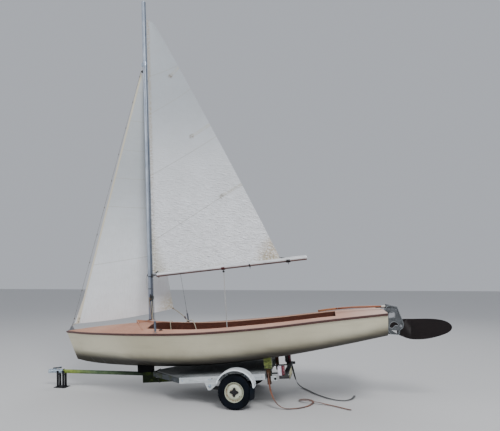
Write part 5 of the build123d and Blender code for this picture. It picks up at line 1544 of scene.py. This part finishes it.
# The halyards come out of the mast above its foot, one for each sail, and are made fast on the cleat.
# Their tails are turned over it and the rest hangs in a small coil behind the mast.
JIB_HALYARD = [(0.362, 0.012, 0.029), (0.26, 0.002, 0.036), (0.14, -0.012, 0.037), (0.03, -0.031, 0.033),
               (0.006, -0.036, 0.032)]
roped("jib_halyard_tail", [on_mast(*point) for point in JIB_HALYARD], 0.0045, tan_rope)
MAIN_HALYARD = [(0.300, -0.030, 0.030), (0.20, -0.036, 0.030), (0.10, -0.040, 0.030), (0.006, -0.043, 0.030)]
roped("main_halyard_tail", [on_mast(*point) for point in MAIN_HALYARD], 0.0045, cream_rope)
turns = []
for turn in range(2):
    lean = 0.010 * (-1) ** turn
    up = 0.318 + turn * 0.018
    turns.append(on_mast(up, cleat_fore + lean, cleat_port + 0.012))
    turns.append(on_mast(up + 0.006, cleat_fore - lean * 1.2, cleat_port + 0.030))
roped("cleat_turns", turns, 0.004, tan_rope)
coil_at = on_mast(0.352, -0.052, 0.016)
coil = []
for step in range(49):
    angle = 2 * math.pi * step / 12
    wide = 0.011 + 0.0012 * (step % 5)
    coil.append(coil_at + mast_up * math.cos(angle) * 0.030 + mast_fore * math.sin(angle) * wide
                + Vector((0, 0.00044 * step, 0)))
roped("halyard_coil", coil, 0.0032, dark_cord)

# The thin cord at the front of the mast: both ends are tied, one to the eye strap and one to the mast,
# and it hangs slack between them.
FRONT_CORD = [(0.690, 0.060), (0.645, 0.070), (0.600, 0.062), (0.560, 0.056), (0.520, 0.060), (0.495, 0.052),
              (0.490, 0.0375)]
front_cord = [strap_at + mast_fore * 0.014, *[on_mast(*point) for point in FRONT_CORD]]
free_rope("front_cord", front_cord, 0.0018, dark_cord)
hitch = [eye_ring(on_mast(0.490 + 0.004 * lap), 0.0365, 0.0018, mast_up) for lap in range(3)]
for ring in hitch:
    ring.scale = (1.0, 0.86, 1.0)
finished(hitch, "front_cord_hitch", "root", dark_cord)

# Black lashings at the gooseneck hold the tack of the mainsail down and the boom to its tongue.
lashing = []
for step in range(33):
    angle = 2 * math.pi * step / 8
    lashing.append(on_boom(0.046 + step * 0.0004, math.cos(angle) * 0.030 + 0.006, math.sin(angle) * 0.016))
roped("tack_lashing", lashing, 0.0034, dark_cord, "boom")
toggle = rod_between(on_boom(0.070, 0.050, 0.010), on_boom(0.040, 0.040, -0.002), 0.006)
shackle = eye_ring(on_boom(0.070, 0.046), 0.012, 0.004, (0, 1, 0))
finished([toggle, shackle], "tack_shackle", "boom", dark_moulding)
hook = rod_between(on_boom(0.064, -0.030), on_boom(0.092, -0.048), 0.006, 20, 0.004)
finished(hook, "downhaul_hook", "boom", dark_moulding)
collar = eye_ring(on_mast(0.690, -0.006), 0.041, 0.0045, mast_up)
collar.scale = (1.0, 0.80, 1.0)
knuckle = rounded_block(on_mast(0.700, -0.042), (0.022, 0.046, 0.060), 0.006, (0, 0, 0))
finished([collar, knuckle], "gooseneck_band", "root", dark_moulding)

# The outhaul: a short black cord that lashes the clew of the mainsail to an eye. The eye's base is
# screwed on top of the boom.
outhaul = [main_clew + boom_aft * along + boom_over * over
           for along, over in ((-0.020, 0.022), (0.016, 0.004), (0.055, -0.002), (0.020, 0.010))]
roped("outhaul", outhaul, 0.005, dark_cord, "boom")
eye = eye_ring(main_clew + boom_aft * 0.058 - boom_over * 0.004, 0.009, 0.003, (0, 1, 0))
base_at = main_clew + boom_aft * 0.058 - boom_over * 0.002
base = rounded_block(base_at, (0.040, 0.014, 0.004), 0.0015, (0, math.atan2(boom_aft.z, -boom_aft.x), 0))
finished([eye, base], "outhaul_eye", "boom", dark_moulding)

# The mainsheet: two parts of greyish rope from the saddle under the boom to the block on the thwart.
# One end is made fast on the becket of the block under the boom. The other is jammed in the block.
thwart_top = 0.9306
block_x = 0.215
sheave_at = drawn(block_x, 0, thwart_top + 0.060)
sheet_top = on_boom(1.166, -0.062)
parts = []
for side in (1, -1):
    beside = Vector((0, 0.006 * side, 0))
    part = rod_between(sheave_at + beside + Vector((0, 0, 0.020)), sheet_top + beside, 0.005, 12)
    chosen(part)
    bpy.ops.object.mode_set(mode="EDIT")
    bpy.ops.mesh.select_all(action="SELECT")
    bpy.ops.mesh.subdivide(number_cuts=12)
    bpy.ops.object.mode_set(mode="OBJECT")
    parts.append(part)
falls = finished(parts, "mainsheet_parts", None, grey_rope, 60)
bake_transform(falls)
# the block under the boom: a small sheave on its pin, hung from the saddle by a ring
pulley_at = sheet_top - Vector((0, 0, 0.006))
upper = [crossbar(pulley_at, 0.011, 0.017, 28), crossbar(pulley_at, 0.014, 0.005, 16),
         eye_ring(sheet_top + boom_over * 0.014, 0.009, 0.0026, boom_aft)]
finished(upper, "boom_block", "boom", dark_moulding)

# The mainsheet's block: a swivel post on a round base that is screwed to the thwart, with a sheave
# between two cheeks.
base = rod_between(drawn(block_x, 0, thwart_top), drawn(block_x, 0, thwart_top + 0.009), 0.033, 40, 0.030)
post_from, post_to = drawn(block_x, 0, thwart_top + 0.007), drawn(block_x, 0, thwart_top + 0.042)
post = rod_between(post_from, post_to, 0.010, 24, 0.008)
cheeks = [crossbar(sheave_at + Vector((0, out, 0)), 0.00175, 0.0255, 36) for out in (-0.00925, 0.00925)]
sheave = crossbar(sheave_at, 0.0072, 0.021, 36)
axle_pin = crossbar(sheave_at, 0.0135, 0.004, 16)
screws = []
for quarter in range(4):
    angle = math.pi * (0.25 + quarter / 2)
    screw_at = drawn(block_x + math.cos(angle) * 0.024, math.sin(angle) * 0.024, thwart_top + 0.009)
    screws.append(domed(screw_at, (0, 0, 1), 0.0035, 0.0018))
for cheek in cheeks:
    modified(cheek, "BEVEL", width=0.001, segments=2)
thwart_block = finished([base, post, sheave, axle_pin, *cheeks, *screws], "thwart_block", "root",
                        dark_moulding)
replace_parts(thwart_block, "sheet_fittings")

# The jib's fairleads: on the port side deck an oval plate with a ring lies under its lazy sheet's place,
# and on the starboard one a block stands up on its strop, pulled towards the clew by the sheet.
lead_x, lead_y = 1.045, 0.620
deck_under_lead = 1.093
red_leather = moulded("dark red leather", tone(34, 10, 12), tone(66, 24, 24), 0.6)
for side, tail in SIDES:
    at = drawn(lead_x, lead_y * side, deck_under_lead + 0.004)
    bpy.ops.mesh.primitive_uv_sphere_add(segments=32, ring_count=12, radius=1, location=at,
                                         rotation=(0, trim, 0), scale=(0.032, 0.016, 0.008))
    plate = bpy.context.object
    ring = eye_ring(at + Vector((0, 0, 0.008)), 0.012, 0.0045, (0.2, 0, 1))
    screws = [domed(at + Vector((way, 0, 0.005)), (0, 0, 1), 0.0035, 0.002) for way in (-0.024, 0.024)]
    lead = finished([plate, ring, *screws], "fairlead_" + tail, "root", dark_moulding)
    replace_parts(lead, "sheet_fittings")
lead_foot = drawn(lead_x, -lead_y, deck_under_lead + 0.008)
lead_top = drawn(1.095, -0.618, deck_under_lead + 0.086)
strop = rod_between(lead_foot, lead_top, 0.0062, 20)
turn = (lead_top - lead_foot).to_track_quat("Z", "Y").to_euler()
sleeve = rounded_block(lead_foot.lerp(lead_top, 0.70), (0.024, 0.014, 0.092), 0.004, turn)
ring = eye_ring(lead_top, 0.0145, 0.006, (1, 0, 0))
finished([strop, sleeve, ring], "lead_strop", "root", red_leather)

# The jib's sheet: a line of about 8 m whose middle is tied to the clew. Its working half goes through
# the block and over the cockpit's edge, its other half over the same edge farther forward, and what
# is left of each lies in a neat coil on the starboard bottom boards.
sheet_radius = 0.0072


def coiled_sheet(centre, ahead_slope, side_slope, radius, turns):
    """A round coil on the boards, which rise forward and outboard by the slopes: half of its turns lie
    side by side inwards, and the rest on top of them outwards."""
    points = []
    for step in range(12 * turns + 1):
        turn = step / 12
        angle = -math.pi / 2 - 2 * math.pi * turn
        reach = radius * (11 + 2.2 * (abs(turn - turns / 2) - turns / 4))
        climb = min(1.0, max(0.0, (turn - turns / 2 + 0.3) / 0.5))
        ahead, side = reach * math.cos(angle), reach * math.sin(angle)
        up = radius * (1.15 + 2.05 * climb * climb * (3 - 2 * climb))
        height = centre[2] + ahead * ahead_slope - side * side_slope + up
        points.append(drawn(centre[0] + ahead, centre[1] + side, height))
    return points + [points[-1] + heading(-0.018, 0.003, 0.006)]


def stopper_knot(name, at):
    """The lump of a knot in a sheet's end."""
    laps = [eye_ring(at + Vector((0.004 * lap, 0, 0)), 0.007, 0.005, (1, 0.4 * (-1) ** lap, 0))
            for lap in range(3)]
    return finished(laps, name, "root", cream_rope, 60)


# the sheet's way from the block over the cockpit's edge and down to its coil, on the level boat
FROM_BLOCK = [
    (1.070, -0.612, 1.140), (1.045, -0.600, 1.118), (1.010, -0.565, 1.118), (0.968, -0.52, 1.128),
    (0.938, -0.50, 1.134), (0.912, -0.482, 1.122), (0.888, -0.476, 1.075), (0.865, -0.478, 0.995),
    (0.852, -0.468, 0.900), (0.848, -0.462, 0.800), (0.848, -0.455, 0.710), (0.845, -0.440, 0.642),
    (0.814, -0.400, 0.6185), (0.778, -0.374, 0.6105),
]
jib_sheet = [jib_clew + heading(0.012, 0, 0.006), drawn(1.205, -0.545, 1.300), drawn(1.150, -0.585, 1.240),
             lead_top, *[drawn(*point) for point in FROM_BLOCK],
             *coiled_sheet((0.740, -0.260, 0.5745), 0.0435, 0.230, sheet_radius, 6)]
sheet_knot = stopper_knot("jib_sheet_knot", jib_sheet[-1])
free_rope("jib_sheet", jib_sheet, sheet_radius, cream_rope)
laps = []
for lap in range(3):
    lap_at = jib_clew + heading(0.014 - 0.006 * lap, 0, 0.008 - 0.003 * lap)
    laps.append(eye_ring(lap_at, 0.009, 0.0055, (1, 0.3 * (-1) ** lap, 0.6)))
finished(laps, "clew_knot", "root", tan_rope, 60)
LAZY_WAY = [
    (1.300, -0.560, 1.124), (1.306, -0.532, 1.137), (1.307, -0.511, 1.1465), (1.308, -0.493, 1.1456),
    (1.308, -0.4774, 1.1366), (1.308, -0.4676, 1.1215), (1.307, -0.4645, 1.0917), (1.304, -0.465, 1.020),
    (1.292, -0.470, 0.930), (1.272, -0.462, 0.840), (1.244, -0.452, 0.755), (1.202, -0.438, 0.690),
    (1.142, -0.406, 0.650), (1.086, -0.378, 0.6365),
]
lazy_sheet = [*[drawn(*point) for point in LAZY_WAY],
              *coiled_sheet((1.030, -0.260, 0.5930), 0.084, 0.270, sheet_radius, 6)]
lazy_knot = stopper_knot("lazy_sheet_knot", lazy_sheet[-1])
free_rope("lazy_sheet", lazy_sheet, sheet_radius, cream_rope)
jam = rounded_block(drawn(1.328, -0.484, 1.070), (0.016, 0.010, 0.100), 0.003)
finished(jam, "sheet_jam_cleat", "root", dark_moulding)

# The jib's luff: brass snap hanks on the forestay, and a lashing of cream cord from the tack's ring to
# the shackle on the stem.
hank_brass = brushed("dull brass", tone(70, 66, 56), tone(120, 112, 92), 0.45, (1, 1, 1), 0.7)
hanks = []
for hank in range(10):
    middle = bow_eye + stay_run * (0.14 + hank * 0.475)
    jaw = middle - heading(0.006, 0, 0)
    hanks.append(eye_ring(middle - heading(0.002, 0, 0), 0.0070, 0.0022, stay_run))
    hanks.append(rod_between(jaw - stay_run * 0.014, jaw + stay_run * 0.014, 0.0032, 12))
finished(hanks, "jib_hanks", "root", hank_brass)
eyelets = [eye_ring(jib_tack + luff_run * way - heading(0.020, 0, 0), 0.008, 0.0025, (0, 1, 0))
           for way in (0.030, 0.085)]
finished(eyelets, "tack_eyelets", "root", hank_brass)
tack_at = jib_tack + heading(0.012, 0, 0.014)
laps = []
for lap in range(7):
    laps.append(tack_at + Vector((0, 0.006 * (-1) ** lap, 0)) + heading(-0.002 * lap, 0, 0.002 * lap))
    laps.append(bow_eye + heading(-0.002, 0.005 * (-1) ** lap, 0.016))
roped("tack_cord", laps, 0.0026, cream_rope)
bow_shackle = eye_ring(bow_eye + heading(0.0, 0, 0.012), 0.013, 0.0036, (0, 1, 0))
rivets = [domed(drawn(2.837 + way, 0.0085 * side, 1.180), (0, side, 0), 0.004, 0.002)
          for way in (-0.018, 0.018) for side in (1, -1)]
finished([bow_shackle, *rivets], "bow_shackle", "root", stainless)

# The mast step: a pad of painted wood, and the black moulded cup on it that takes the mast's heel and
# is bolted through the deck.
foot_pad = rounded_block(drawn(1.450, 0, 1.2145), (0.098, 0.080, 0.008), 0.003)
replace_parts(finished(foot_pad, "step_pad", "root", deck_paint), "mast_step")
cup = eye_ring(on_mast(0.010, -0.002), 0.041, 0.006, mast_up)
cup.scale = (1.06, 0.84, 1.0)
bolts = [domed(drawn(1.450 + way, side * 0.030, 1.219), (0, 0, 1), 0.0045, 0.003)
         for way in (-0.034, 0.034) for side in (1, -1)]
finished([cup, *bolts], "step_cup", "root", dark_moulding)
